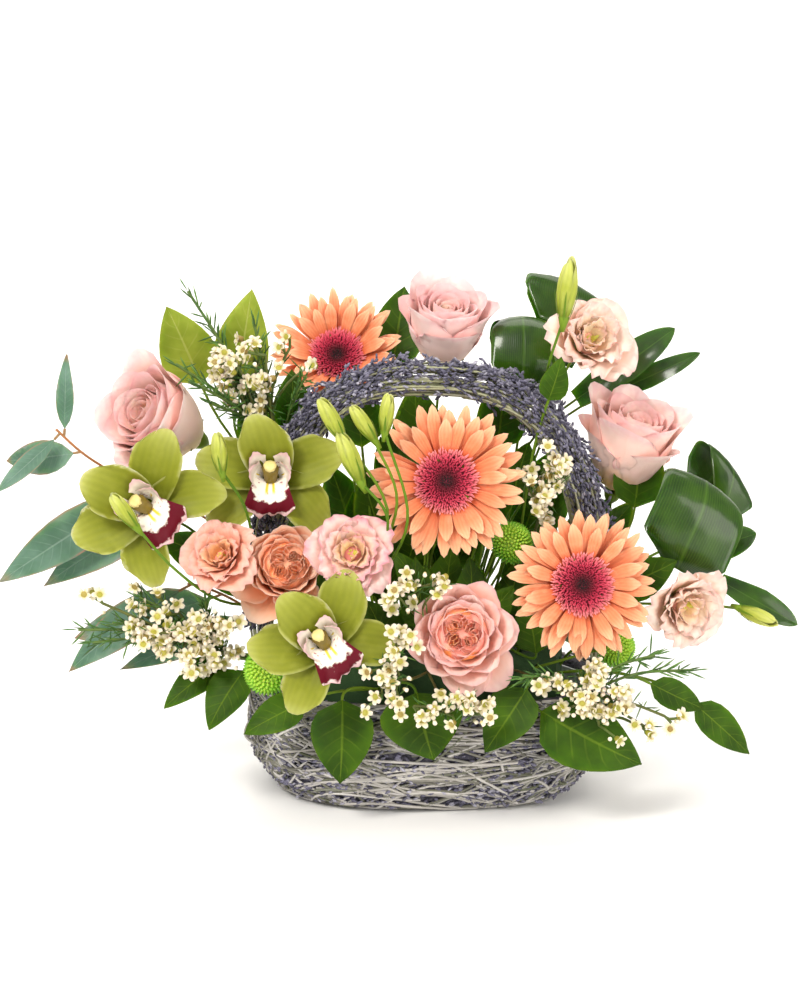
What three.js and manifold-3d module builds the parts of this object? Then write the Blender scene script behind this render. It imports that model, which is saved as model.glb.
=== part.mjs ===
// A florist's basket arrangement: an oval basket wound from dried lavender, with an arched carrying handle,
// a liner and a block of wet foam inside, and gerberas, roses, lisianthus, orchids, button mums, waxflower,
// eucalyptus, aspidistra and lemon leaf standing in the foam. Millimetres, +Z up, +Y to the back.
// The origin is the middle of the basket's underside.
import * as THREE from 'three';
import { mergeVertices } from 'three/addons/utils/BufferGeometryUtils.js';
import Module from 'manifold-3d';

const wasm = await Module();
wasm.setup();

// Driving dimensions
const GAP = 0.3; // between pieces that touch on the real thing
const RIM_Z = 80; // top of the basket wall
const RIM = { x: 126, y: 82 }; // half sizes of the basket outside, at the rim
const BASE = { x: 97, y: 58 }; // and at the table
const WALL = 12; // thickness of the lavender wall
const FLOOR = 5;
const LINER = 1.6;
const FOAM = { x: 96, y: 56, top: 106 }; // half sizes and top of the foam block
const ARCH = { x: 119.5, top: 293, power: 2.7, centre: 1.5 }; // centre line of the handle
const STEM_EMBED = 16; // how deep a stem stands in the foam
const STEM_STEPS = 4; // straight pieces in a stem
const WAX_STEPS = 5; // and in a waxflower's
const WAX_RADIUS = 6.8; // of a waxflower
const NEEDLE = 17; // length of a waxflower's leaves

const V = (x, y, z) => new THREE.Vector3(x, y, z);
const rad = THREE.MathUtils.degToRad;
const lerp = THREE.MathUtils.lerp;
const colours = {
  lavender: 0x6f6b84,
  straw: 0x8b8a86,
  liner: 0x1d2420,
  foam: 0x24563a,
  gerbera: 0xf5955c,
  gerberaDisc: 0xb5224e,
  rose: 0xf0a9a2,
  peachRose: 0xf3a078,
  lisianthus: 0xf6d2bf,
  stem: 0x5f8a35,
  orchid: 0xa9b83a,
  lip: 0xd98aa0,
  mum: 0x7cbb1e,
  waxflower: 0xf1ead2,
  salal: 0x3c7421,
  aspidistra: 0x1f4a1d,
  eucalyptus: 0x64806c,
};

// A seeded draw between 0 and 1, the same on every run.
function draws(seed) {
  let a = seed >>> 0;
  return () => {
    a = (a + 0x6d2b79f5) >>> 0;
    let t = a;
    t = Math.imul(t ^ (t >>> 15), t | 1);
    t ^= t + Math.imul(t ^ (t >>> 7), t | 61);
    return ((t ^ (t >>> 14)) >>> 0) / 4294967296;
  };
}

// Solids

function solid(geometry, matrix) {
  const g = geometry.index ? geometry.toNonIndexed() : geometry.clone();
  g.deleteAttribute('normal');
  g.deleteAttribute('uv');
  if (matrix) g.applyMatrix4(matrix);
  const merged = mergeVertices(g, 1e-3);
  const triVerts = new Uint32Array(merged.index.array);
  const vertProperties = new Float32Array(merged.attributes.position.array);
  const make = () => new wasm.Manifold(new wasm.Mesh({ numProp: 3, vertProperties, triVerts }));
  const made = make();
  if (made.volume() > 0) return made;
  for (let i = 0; i < triVerts.length; i += 3) {
    [triVerts[i + 1], triVerts[i + 2]] = [triVerts[i + 2], triVerts[i + 1]];
  }
  return make();
}

const join = (solids) => solids.reduce((all, one) => all.add(one));

// Joins the pieces and drops any loose scrap that is left.
function fuse(solids, label = '') {
  const bodies = join(solids).decompose().sort((a, b) => b.volume() - a.volume());
  if (bodies.length > 1 && bodies[1].volume() > 0.5) console.log('loose pieces in', label, bodies.length);
  return bodies[0];
}

function meshOf(name, made, colour, roughness = 0.7) {
  const m = made.getMesh();
  const position = new Float32Array(m.numVert * 3);
  for (let i = 0; i < m.numVert; i++) {
    for (let k = 0; k < 3; k++) position[i * 3 + k] = m.vertProperties[i * m.numProp + k];
  }
  const g = new THREE.BufferGeometry();
  g.setAttribute('position', new THREE.BufferAttribute(position, 3));
  g.setIndex(new THREE.BufferAttribute(new Uint32Array(m.triVerts), 1));
  g.computeVertexNormals();
  const mesh = new THREE.Mesh(g, new THREE.MeshStandardMaterial({ color: colour, roughness, metalness: 0 }));
  mesh.name = name;
  return mesh;
}

// A closed skin over rings of points. A ring of one point is a tip. From side `flip` on, the quads are split
// along their other diagonal, so that both faces of a thin blade have the same triangles.
function skin(rings, flip = Infinity) {
  const position = [];
  const face = (...points) => points.forEach((p) => position.push(p.x, p.y, p.z));
  // Between rings of unlike counts, each next point is taken from the ring that lags behind.
  const stitch = (a, b) => {
    const [m, n] = [a.length, b.length];
    for (let i = 0, j = 0; i < m || j < n;) {
      if (j < n && (i === m || (j + 1) * m <= (i + 1) * n)) {
        face(a[i % m], b[(j + 1) % n], b[j]);
        j++;
      } else {
        face(a[i], a[(i + 1) % m], b[j % n]);
        i++;
      }
    }
  };
  for (let i = 0; i < rings.length - 1; i++) {
    const [a, b] = [rings[i], rings[i + 1]];
    const n = Math.max(a.length, b.length);
    if (Math.min(a.length, b.length) > 1 && a.length !== b.length) {
      stitch(a, b);
      continue;
    }
    for (let j = 0; j < n; j++) {
      const k = (j + 1) % n;
      if (a.length === 1) face(a[0], b[k], b[j]);
      else if (b.length === 1) face(a[j], a[k], b[0]);
      else if (j < flip) {
        face(a[j], a[k], b[k]);
        face(a[j], b[k], b[j]);
      } else {
        face(a[j], a[k], b[j]);
        face(a[k], b[k], b[j]);
      }
    }
  }
  const cap = (ring, up) => {
    for (let j = 1; j < ring.length - 1; j++) {
      if (up) face(ring[0], ring[j], ring[j + 1]);
      else face(ring[0], ring[j + 1], ring[j]);
    }
  };
  cap(rings[0], false);
  cap(rings[rings.length - 1], true);
  const g = new THREE.BufferGeometry();
  g.setAttribute('position', new THREE.Float32BufferAttribute(position, 3));
  return g;
}

// Outlines of leaves and petals: share of the half width at share t of the length.
const ovate = (t) => Math.sin(Math.PI * t ** 0.72) ** 0.8;
const lance = (t) => Math.sin(Math.PI * t ** 0.8) ** 0.9;
const paddle = (t) => Math.min(1, 0.28 + 1.1 * t) * (1 - t ** 6) ** 0.5;
const strap = (t) => Math.min(1, 0.5 + t) * (1 - t ** 9) ** 0.6;

// A thin blade that runs along +X from its base with its face up +Z. Pitch bends it along its length, roll
// curls its sides up, wave ripples its rim, and grow fattens it all round for a test of clearance.
const PLAIN_BLADE = {
  outline: ovate, pitch: [0, 0], roll: 30, thick: 1.1, at: [0.3, 0.68], wave: 0, grow: 0,
};
function bladeRings(shape) {
  const { length, width, outline, pitch, roll, thick, at, wave, grow } = { ...PLAIN_BLADE, ...shape };
  const [a0, a1] = pitch.map(rad);
  const phi = rad(Math.max(roll, 1));
  const bend = Math.abs(a1 - a0) < 1e-4 ? 1e-4 : a1 - a0;
  const full = length + grow;
  const point = (t, s, side) => {
    const a = a0 + bend * t;
    const w = (width / 2) * outline(t) + grow;
    const r = w / phi;
    const lift = r * (1 - Math.cos(phi * s)) + wave * Math.sin(5 * s + 9 * t) * t * Math.abs(s);
    const n = (side * (thick + grow * 2)) / 2;
    const up = lift + n * Math.cos(phi * s);
    const x = (full * (Math.sin(a) - Math.sin(a0))) / bend;
    const z = (full * (Math.cos(a0) - Math.cos(a))) / bend;
    return V(x - up * Math.sin(a), r * Math.sin(phi * s) - n * Math.sin(phi * s), z + up * Math.cos(a));
  };
  const rings = [[point(0, 0, 0)]];
  for (const t of at) rings.push([point(t, -1, 0), point(t, 0, 1), point(t, 1, 0), point(t, 0, -1)]);
  return [...rings, [point(1, 0, 0)]];
}

const blade = (shape) => skin(bladeRings(shape), 2);

// A ring of few points round p, across `along`. The first is to the left as seen with `up` upwards.
function ringAt(p, along, up, radius, sides, turn = 0) {
  const side = up.clone().cross(along).normalize();
  const top = along.clone().cross(side);
  return Array.from({ length: sides }, (_, j) => {
    const a = Math.PI - (2 * Math.PI * j) / sides - turn;
    return p.clone().addScaledVector(side, radius * Math.cos(a)).addScaledVector(top, radius * Math.sin(a));
  });
}

const ringsAlong = (curve, radius, steps, sides, up) =>
  curve.getSpacedPoints(steps).map((p, i) => ringAt(p, curve.getTangentAt(i / steps), up, radius, sides));

// A stem: a round tube of few sides along a curve.
function tube(curve, radius, steps = STEM_STEPS, sides = 4) {
  const shape = new THREE.Shape();
  for (let i = 0; i < sides; i++) {
    const a = (2 * Math.PI * i) / sides;
    if (i) shape.lineTo(radius * Math.cos(a), radius * Math.sin(a));
    else shape.moveTo(radius, 0);
  }
  shape.closePath();
  return new THREE.ExtrudeGeometry(shape, { steps, bevelEnabled: false, extrudePath: curve });
}

// A spindle of few sides along +Z, from [z, radius] pairs; a radius of 0 makes a tip.
function spindle(profile, sides, twist = 0) {
  const rings = profile.map(([z, r], i) => {
    if (r === 0) return [V(0, 0, z)];
    return Array.from({ length: sides }, (_, j) => {
      const a = (2 * Math.PI * j) / sides + twist * i;
      return V(r * Math.cos(a), r * Math.sin(a), z);
    });
  });
  return skin(rings);
}

// Frames: a flower looks along +Z of its own frame, with +Y up and +X right as its viewer sees it.
function looking(at, facing, roll = 0) {
  const z = V(...facing).normalize();
  const x = z.clone().negate().cross(V(0, 0, 1)).normalize();
  const y = z.clone().cross(x);
  return new THREE.Matrix4()
    .makeBasis(x, y, z)
    .setPosition(...at)
    .multiply(new THREE.Matrix4().makeRotationZ(rad(roll)));
}

// The frame of a leaf whose base and tip are known, with its face towards `face`.
function pointing(from, to, face) {
  const x = V(...to).sub(V(...from)).normalize();
  const y = V(...face).cross(x).normalize();
  const z = x.clone().cross(y);
  return new THREE.Matrix4().makeBasis(x, y, z).setPosition(...from);
}

const turned = (azimuth, r = 0, z = 0) =>
  new THREE.Matrix4().makeRotationZ(azimuth).multiply(new THREE.Matrix4().makeTranslation(r, 0, z));

// Petals in a ring round the flower's axis.
function whorl(count, first, r, z, petal) {
  return Array.from({ length: count }, (_, i) => {
    const shape = blade(typeof petal === 'function' ? petal(i) : petal);
    return solid(shape, turned(rad(first) + (2 * Math.PI * i) / count, r, z));
  });
}

// What has been placed so far, so that each later piece is bent clear of it.
const placed = [];
const group = new THREE.Group();
const boxesMeet = (a, b) => [0, 1, 2].every((k) => a.min[k] < b.max[k] && b.min[k] < a.max[k]);

function isClear(probe, except = []) {
  const box = probe.boundingBox();
  return placed.every(
    (p) => except.includes(p.name) || !boxesMeet(box, p.box) || probe.intersect(p.made).isEmpty(),
  );
}

function place(name, made, colour, roughness) {
  placed.push({ name, made, box: made.boundingBox() });
  group.add(meshOf(name, made, colour, roughness));
}

// Basket

// A point of an oval with squared ends, at angle a, for half sizes x and y.
function oval(a, x, y, z) {
  const power = 2 / 2.5;
  const c = Math.cos(a);
  const s = Math.sin(a);
  return V(x * Math.sign(c) * Math.abs(c) ** power, y * Math.sign(s) * Math.abs(s) ** power, z);
}

const ovalRing = (sides, x, y, z, ripple = () => 0) =>
  Array.from({ length: sides }, (_, j) => {
    const a = (2 * Math.PI * j) / sides;
    const r = ripple(a, z);
    return oval(a, x + r, y + r, z);
  });

// Share of the way from base size to rim size at height z, with a round lower corner.
const swell = (z) => Math.min(1, Math.sin((Math.min(z, 46) / 46) * (Math.PI / 2)) ** 0.75);
const wallX = (z) => lerp(BASE.x, RIM.x, swell(z));
const wallY = (z) => lerp(BASE.y, RIM.y, swell(z));

const HANDLE_FEET_Z = 48;
function handleFrame(share) {
  const angle = Math.PI * share;
  const power = 2 / ARCH.power;
  const c = Math.cos(angle);
  const s = Math.sin(angle);
  const rise = ARCH.top - RIM_Z;
  return V(ARCH.centre - ARCH.x * Math.sign(c) * Math.abs(c) ** power, 0, RIM_Z + rise * s ** power);
}

// The handle's outline: thick at the crown and slim where it stands in the wall.
function handleBar(grow) {
  const line = [];
  const steps = 17;
  for (let i = 0; i <= steps; i++) line.push(handleFrame(i / steps));
  line.unshift(V(line[0].x, 0, HANDLE_FEET_Z - grow));
  line.push(V(line[line.length - 1].x, 0, HANDLE_FEET_Z - grow));
  const rings = line.map((p, i) => {
    const before = line[Math.max(0, i - 1)];
    const after = line[Math.min(line.length - 1, i + 1)];
    const along = after.clone().sub(before).normalize();
    const out = V(-along.z, 0, along.x);
    const thick = THREE.MathUtils.smoothstep(p.z, RIM_Z - 5, RIM_Z + 70);
    const [deep, wide] = [lerp(3.2, 11.5, thick) + grow, lerp(8, 14, thick) + grow];
    return Array.from({ length: 7 }, (_, j) => {
      const a = (2 * Math.PI * j) / 7;
      return p.clone().addScaledVector(out, deep * Math.cos(a)).add(V(0, wide * Math.sin(a), 0));
    });
  });
  return skin(rings);
}

function makeBasket() {
  const sides = 28;
  const ripple = (a, z) => 1.1 * Math.sin(7 * a + z * 0.4) + 0.8 * Math.sin(z * 0.9 - 5 * a);
  const bundles = [6, 15, 24, 33, 42, 51, 60, 70].map((z, i) =>
    ovalRing(sides, wallX(z), wallY(z), z, (a) => ripple(a, z) + (i % 2 ? -0.9 : 0.9)),
  );
  const wall = skin([
    ovalRing(sides, BASE.x, BASE.y, 0),
    ...bundles,
    ovalRing(sides, RIM.x, RIM.y, RIM_Z, ripple),
    ...[RIM_Z, FLOOR + 24].map((z) => ovalRing(sides, RIM.x - WALL, RIM.y - WALL, z)),
    ovalRing(sides, RIM.x - WALL - 14, RIM.y - WALL - 14, FLOOR),
  ]);
  return solid(wall).subtract(solid(handleBar(GAP + 0.2)));
}

function makeHandle() {
  const draw = draws(5);
  const spikes = Array.from({ length: 16 }, (_, i) => {
    const share = 0.12 + (0.76 * (i + draw() * 0.6)) / 16;
    const p = handleFrame(share);
    const along = handleFrame(share + 0.01).sub(p).normalize();
    const out = V(-along.z, 0, along.x).negate();
    const turn = (i * 2.4) % (2 * Math.PI);
    const side = out.clone().multiplyScalar(Math.cos(turn)).add(V(0, Math.sin(turn), 0));
    const start = p.clone().addScaledVector(out, Math.cos(turn) * 9).add(V(0, Math.sin(turn) * 11, 0));
    const tip = along.clone().multiplyScalar(draw() < 0.5 ? -1 : 1).addScaledVector(side, 0.45).normalize();
    const q = new THREE.Quaternion().setFromUnitVectors(V(0, 0, 1), tip);
    const size = 13 + draw() * 7;
    const spike = spindle([[-6, 0], [size * 0.35, 2.6], [size, 0]], 3);
    return solid(spike, new THREE.Matrix4().compose(start, q, V(1, 1, 1)));
  });
  return fuse([solid(handleBar(0)), ...spikes]);
}

function makeLiner() {
  const outer = { x: RIM.x - WALL - GAP - 0.2, y: RIM.y - WALL - GAP - 0.2 };
  const low = FLOOR + GAP;
  const ring = (inset, z) => ovalRing(20, outer.x - inset, outer.y - inset, z);
  return solid(
    skin([ring(14.4, low), ring(0.6, FLOOR + 25), ring(0.6, RIM_Z - 4), ring(LINER + 0.6, RIM_Z - 4),
      ring(LINER + 0.6, FLOOR + 25), ring(14.4 + LINER, low + LINER)]),
  );
}

function makeFoam(holes) {
  const low = FLOOR + LINER + 2 * GAP;
  const ring = (inset, z) => ovalRing(16, FOAM.x - inset, FOAM.y - inset, z);
  const block = solid(skin([ring(4, low), ring(0, low + 22), ring(0, FOAM.top - 6), ring(7, FOAM.top)]));
  return fuse([holes.reduce((rest, hole) => rest.subtract(hole), block)]);
}

// Flowers. Each is made with its base at the origin and looks along +Z.

// A lobed body of nested cups, from [radius, height, depth of the lobes, turn of the lobes]. The lobes step
// in at one side, as petals lap over each other.
function cups(profile, sides, lobes) {
  return skin(profile.map(([r, z, depth = 0, turn = 0]) => {
    if (r === 0) return [V(0, 0, z)];
    return Array.from({ length: sides }, (_, j) => {
      const a = (2 * Math.PI * j) / sides;
      const lap = ((j / sides) * lobes + turn) % 1 - 0.5;
      const d = r * (1 + depth * lap);
      return V(d * Math.cos(a), d * Math.sin(a), z * (1 + depth * lap * 0.3));
    });
  }));
}

const sized = (body, size) => body.map(([r, z, ...lobe]) => [r * size, z * size, ...lobe]);

// A rose is closed with upright petals, or open by its flare, with guard petals that spread below.
function rose({ size, flare = 0 }) {
  const body = [
    [0.12, 0], [0.42, 0.2], [0.55, 0.55], [0.5, 0.96, 0.16], [0.41, 0.8, 0.1], [0.36, 1.03, 0.2, 0.4],
    [0.24, 0.86, 0.1, 0.4], [0.18, 1.02, 0.3, 0.7], [0, 0.84],
  ];
  const petal = {
    length: size * (1.2 + flare * 0.2),
    width: size * 0.84,
    pitch: [20 - flare * 12, 82 - flare * 52],
    roll: 40,
    thick: 1.3,
    outline: paddle,
    at: [0.42, 0.86],
  };
  const guard = { ...petal, length: size * 1.36, pitch: [8, 4], roll: 20 };
  return fuse([
    solid(cups(sized(body, size), 10, 5)),
    ...whorl(5, 10, size * 0.16, size * 0.12, petal),
    ...(flare ? whorl(4, 60, size * 0.12, size * 0.04, guard) : []),
  ]);
}

function lisianthus({ size, open = 0.5 }) {
  const body = [
    [0.1, 0], [0.34, 0.3], [0.5, 0.66], [0.47, 0.86, 0.2], [0.32, 0.62], [0.25, 0.84, 0.3, 0.5], [0, 0.6],
  ];
  const petal = {
    length: size * 1.2,
    width: size * 0.9,
    pitch: [28, 72 - open * 50],
    roll: 36,
    thick: 1.2,
    outline: paddle,
    at: [0.45, 0.86],
    wave: size * 0.07,
  };
  return fuse([solid(cups(sized(body, size), 10, 5)), ...whorl(5, 0, size * 0.1, size * 0.12, petal)]);
}

// Two layers of petals round a hub, the upper ones between the lower ones.
function gerberaPetals({ size, cup = 10, petals = 11 }) {
  const hub = spindle([[0, size * 0.1], [3.5, size * 0.37], [9, size * 0.34]], 12);
  const petal = {
    width: size * 0.28,
    thick: 1.5,
    outline: (t) => (t < 0.5 ? 0.88 : 0.78),
    at: [0.34, 0.86],
    roll: 18,
  };
  const reach = (i, share) => size * (share + 0.03 * Math.sin(i * 2.3));
  const lower = (i) => ({ ...petal, length: reach(i, 0.69), pitch: [cup, cup - 4] });
  const upper = (i) => ({ ...petal, length: reach(i, 0.6), pitch: [cup + 8, cup + 2] });
  return fuse([
    solid(hub),
    ...whorl(petals, 0, size * 0.3, 4.4, lower),
    ...whorl(petals, 180 / petals, size * 0.3, 7, upper),
  ]);
}

// The middle of a gerbera: a ring of short florets round a dark eye.
function gerberaDisc({ size }) {
  const sides = 16;
  const base = 9 + GAP;
  const ring = (r, z, tooth = 0) =>
    Array.from({ length: sides }, (_, j) => {
      const a = (2 * Math.PI * j) / sides;
      const d = size * (r + (j % 2 ? tooth : -tooth));
      return V(d * Math.cos(a), d * Math.sin(a), z);
    });
  const dip = [V(0, 0, base + 2.6)];
  return solid(skin([ring(0.3, base), ring(0.35, base + 4.5, 0.03), ring(0.18, base + 4.2, 0.03), dip]));
}

// A cymbidium's five green tepals, round the throat that its lip stands in.
function orchidTepals({ size }) {
  const arms = [
    [90, 0.92, 0.62, [54, 26], 40], // dorsal sepal, which hoods the column
    [24, 0.98, 0.56, [28, 2], 26],
    [156, 0.98, 0.56, [28, 2], 26],
    [-28, 0.98, 0.56, [22, 0], 30],
    [-148, 0.98, 0.56, [22, 0], 30],
  ];
  const hub = spindle([[0, size * 0.07], [size * 0.08, size * 0.16], [size * 0.14, size * 0.15]], 6);
  const outline = (t) => Math.sin(Math.PI * (0.12 + 0.76 * t)) ** 0.8;
  const tepals = arms.map(([azimuth, length, width, pitch, roll]) => {
    const sizes = { length: size * length, width: size * width, thick: 1.5 };
    const shape = blade({ ...sizes, pitch, roll, outline, at: [0.32, 0.78] });
    return solid(shape, turned(rad(azimuth), size * 0.05, size * 0.06));
  });
  return fuse([solid(hub), ...tepals]);
}

// Its lip, a boat with a frilled front that hangs forward, and the hooded column above it.
function orchidLip({ size }) {
  const z = size * 0.14 + GAP;
  const lip = blade({
    length: size * 0.5,
    width: size * 0.46,
    thick: 1.8,
    at: [0.34, 0.84],
    pitch: [62, -20],
    roll: 56,
    outline: (t) => 0.5 + 0.5 * t,
  });
  const column = spindle([[0, size * 0.07], [size * 0.14, size * 0.09], [size * 0.3, 0]], 5);
  const root = spindle([[z, size * 0.1], [z + 4, size * 0.08]], 5);
  const tilt = new THREE.Matrix4().makeRotationX(rad(-20)).setPosition(0, size * 0.01, z + 1.4);
  return fuse([solid(root), solid(lip, turned(rad(-90), size * 0.02, z + 1.5)), solid(column, tilt)]);
}

// A button mum: a domed head covered in short quilled florets.
function mumHead({ size }) {
  const count = 13;
  const dome = [[0, 0.3], [0.26, 0.8], [0.62, 0.66], [0.86, 0]];
  const head = spindle(dome.map(([z, r]) => [z * size, r * size]), 8);
  const floret = spindle([[-3, size * 0.15], [size * 0.3, 0]], 3);
  const middle = V(0, 0, size * 0.22);
  const florets = Array.from({ length: count }, (_, i) => {
    const up = 1 - (1.1 * (i + 0.5)) / count;
    const flat = Math.sqrt(Math.max(0, 1 - up * up));
    const a = i * 2.39996;
    const dir = V(flat * Math.cos(a), flat * Math.sin(a), up);
    const q = new THREE.Quaternion().setFromUnitVectors(V(0, 0, 1), dir);
    const reach = size * (up > 0.6 ? 0.6 : 0.66);
    const foot = middle.clone().addScaledVector(dir, reach);
    return solid(floret, new THREE.Matrix4().compose(foot, q, V(1, 1, 1)));
  });
  return [solid(head), ...florets];
}

// A closed bud on its stalk, its petals wound round each other.
function budOnStalk(stalk, tip, radius) {
  const from = stalk.getPoint(1);
  const dir = V(...tip).sub(from);
  const up = V(0, 0, 1).cross(dir).normalize();
  const wound = [[0, 0.35], [0.18, 0.9], [0.42, 1], [0.8, 0.5]].map(([share, r], i) =>
    ringAt(from.clone().addScaledVector(dir, share), dir.clone().normalize(), up, r * radius, 5, 0.35 * i));
  return skin([...ringsAlong(stalk, 1.4, 4, 3, up).slice(0, -1), ...wound, [V(...tip)]]);
}

// Stems

// Moves a root to the foam's surface: in over its flat top, or out to its side.
function rooted([x, y, z]) {
  const reach = ((Math.abs(x) / FOAM.x) ** 2.5 + (Math.abs(y) / FOAM.y) ** 2.5) ** 0.4;
  if (z >= FOAM.top) return V(x, y, z).multiply(V(1, 1, 0).multiplyScalar(Math.min(1, 0.82 / reach)).setZ(1));
  return V(x / reach, y / reach, z);
}

// Which way a stem leaves the foam: up and a little outwards from its top, nearly level from its side.
function leaving(root) {
  if (root.z >= FOAM.top) return V(root.x / 160, root.y / 160, 1).normalize();
  return V(root.x / FOAM.x, (root.y / FOAM.y) * 1.4, 0.35).normalize();
}

const holes = [];

// The plain hole that a stem stands in goes a little past the stem's foot.
function addHole(curve, radius, steps, sides) {
  holes.push(solid(tube(curve, radius + (GAP + 0.1) / Math.cos(Math.PI / sides), steps, sides)));
}

// Tries swings of growing size round the straight route and keeps the first that is clear.
function clearSwing(label, probeOf, except = [], reach = 26) {
  if (isClear(probeOf(V(0, 0, 0)), except)) return V(0, 0, 0);
  for (let r = 3; r <= reach; r += 3) {
    for (let k = 0; k < 12; k++) {
      const a = (2 * Math.PI * k) / 12 + r;
      const swing = V(r * Math.cos(a), r * Math.sin(a), k % 3 ? 0 : r * 0.4);
      if (isClear(probeOf(swing), except)) return swing;
    }
  }
  console.log('no clear way for', label);
  return V(0, 0, 0);
}

// A stem from its root in the foam to the base of its flower.
function makeStem(name, flower, base, radius, own) {
  const root = rooted(flower.root);
  const out = leaving(root);
  const foot = root.clone().addScaledVector(out, -STEM_EMBED);
  const end = V(...base);
  const span = foot.distanceTo(end);
  const back = V(...flower.look).normalize();
  const curveOf = (swing, extra = 0) =>
    new THREE.CubicBezierCurve3(
      foot.clone().addScaledVector(out, -extra),
      foot.clone().addScaledVector(out, span * 0.4).add(swing),
      end.clone().addScaledVector(back, -span * 0.36).addScaledVector(swing, 0.6),
      end,
    );
  const swing = clearSwing(name, (s) => solid(tube(curveOf(s), radius + GAP + 0.2)), own);
  addHole(curveOf(swing, 0.6), radius, STEM_STEPS, 4);
  return { curve: curveOf(swing), made: solid(tube(curveOf(swing), radius)) };
}

// A point at a share of a curve's length, on the straight pieces that its tube is made of.
function onTube(curve, share, steps) {
  const points = curve.getSpacedPoints(steps);
  const k = Math.min(steps - 1, Math.floor(share * steps));
  return points[k].lerp(points[k + 1], share * steps - k);
}

// The straight foot of a leafy or branching stem, in its hole.
function trunk(at, radius, label, branches = 1) {
  const root = rooted(at);
  const out = leaving(root);
  const foot = root.clone().addScaledVector(out, -STEM_EMBED);
  const neck = root.clone().addScaledVector(out, 4 + 2.6 * branches);
  addHole(new THREE.LineCurve3(foot.clone().addScaledVector(out, -0.6), neck), radius, 1, 3);
  const line = new THREE.LineCurve3(foot, neck);
  if (!isClear(solid(tube(line, radius + 0.5, 1, 3)))) console.log('the foot crosses something:', label);
  return { foot, neck, out, made: solid(tube(line, radius, 1, 3)) };
}

// A thin branch from a trunk to a point, which it reaches going `into`. Each leaves a little lower than the
// one before.
function branch({ neck, out }, to, into, radius, label, { steps = 3, index = 0 } = {}) {
  const from = neck.clone().addScaledVector(out, -1.8 - 2.6 * index);
  const span = from.distanceTo(to);
  const curveOf = (swing) =>
    new THREE.CubicBezierCurve3(
      from,
      from.clone().addScaledVector(out, span * 0.35).add(swing),
      to.clone().addScaledVector(into, -span * 0.35).addScaledVector(swing, 0.7),
      to,
    );
  return curveOf(clearSwing(label, (s) => solid(tube(curveOf(s), radius + GAP + 0.2, steps, 3))));
}

// The arrangement. `at` is where a flower shows, `look` the way it faces, `deep` how far its base lies behind
// `at`, `root` where its stem enters the foam, and `roll` turns it about its own axis.

const gerberas = [
  {
    name: 'gerbera_front', at: [12, -62, 233], look: [0.02, -0.97, 0.24],
    size: 54, deep: 9, cup: 8, root: [10, -14, 106],
  },
  {
    name: 'gerbera_right', at: [103, -80, 166], look: [0.1, -0.96, 0.26],
    size: 52, deep: 9, cup: 10, root: [62, -30, 106],
  },
  {
    name: 'gerbera_back', at: [-64, 50, 303], look: [0, -0.83, 0.56],
    size: 51, deep: 12, cup: 30, root: [-32, 22, 106],
  },
];

const roses = [
  {
    name: 'rose_left', at: [-181, 8, 259], look: [-0.62, -0.6, 0.45],
    size: 45, stretch: 1.25, deep: 28, root: [-62, 34, 106],
  },
  {
    name: 'rose_back', at: [13, 52, 317], look: [0.1, -0.42, 0.9],
    size: 38, stretch: 1.35, deep: 27, root: [4, 36, 106],
  },
  {
    name: 'rose_right', at: [142, 30, 234], look: [0.26, -0.28, 0.92],
    size: 43, stretch: 1.4, deep: 30, root: [74, 26, 106],
  },
  {
    name: 'rose_front', at: [22, -108, 140], look: [0.05, -0.95, 0.3],
    size: 31, deep: 30, flare: 0.55, root: [16, -56, 94],
  },
  {
    name: 'rose_peach', at: [-95, -76, 180], look: [0.1, -0.9, 0.4],
    size: 31, deep: 28, root: [-54, -34, 106], colour: colours.peachRose,
  },
];

// `buds` stand on side stalks, which leave the stem at share `from` of its length and pass through `via`.
const lisianthuses = [
  {
    name: 'lisianthus_top', at: [113, 10, 319], look: [0.35, -0.8, 0.48],
    size: 32, open: 0.5, deep: 20, root: [50, 34, 106],
    buds: [{ from: 0.72, via: [[82, -12, 300]], to: [92, -24, 338], tip: [96, -24, 380], r: 8.5 }],
  },
  {
    name: 'lisianthus_right', at: [177, -52, 144], look: [0.4, -0.88, -0.2],
    size: 30, open: 0.45, deep: 20, root: [96, -8, 90],
    buds: [{ from: 0.7, via: [[196, -12, 134]], to: [216, -36, 138], tip: [240, -54, 132], r: 6.5 }],
  },
  {
    name: 'lisianthus_left', at: [-140, -76, 186], look: [-0.3, -0.78, 0.55],
    size: 26, open: 0.6, deep: 19, root: [-72, -34, 106],
    buds: [
      { from: 0.74, via: [[-122, -64, 212]], to: [-137, -78, 243], tip: [-140, -80, 271], r: 6.5 },
      {
        from: 0.5, via: [[-138, -64, 150], [-168, -88, 178]],
        to: [-194, -88, 208], tip: [-211, -88, 231], r: 7,
      },
    ],
  },
  {
    name: 'lisianthus_front', at: [-51, -95, 192], look: [-0.05, -0.9, 0.4],
    size: 28, open: 0.65, deep: 21, root: [-26, -40, 106],
    buds: [
      { from: 0.6, via: [[-27, -92, 212]], to: [-46, -86, 240], tip: [-68, -86, 284], r: 8.5 },
      { from: 0.68, via: [[-21, -82, 222]], to: [-36, -76, 264], tip: [-52, -76, 288], r: 6.5 },
      { from: 0.56, via: [[-14, -90, 212]], to: [-29, -78, 270], tip: [-26, -78, 296], r: 6.5 },
    ],
  },
];

const orchids = [
  {
    name: 'orchid_left', at: [-191, -60, 215], look: [-0.12, -0.95, 0.2],
    size: 57, deep: 14, roll: 54, root: [-78, -18, 106],
  },
  {
    name: 'orchid_middle', at: [-107, -44, 233], look: [0, -0.95, 0.3],
    size: 55, deep: 14, roll: 0, root: [-50, -12, 106],
  },
  {
    name: 'orchid_low', at: [-69, -120, 137], look: [0, -0.95, 0.28],
    size: 53, deep: 14, roll: 36, root: [-44, -56, 96],
  },
];

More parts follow.
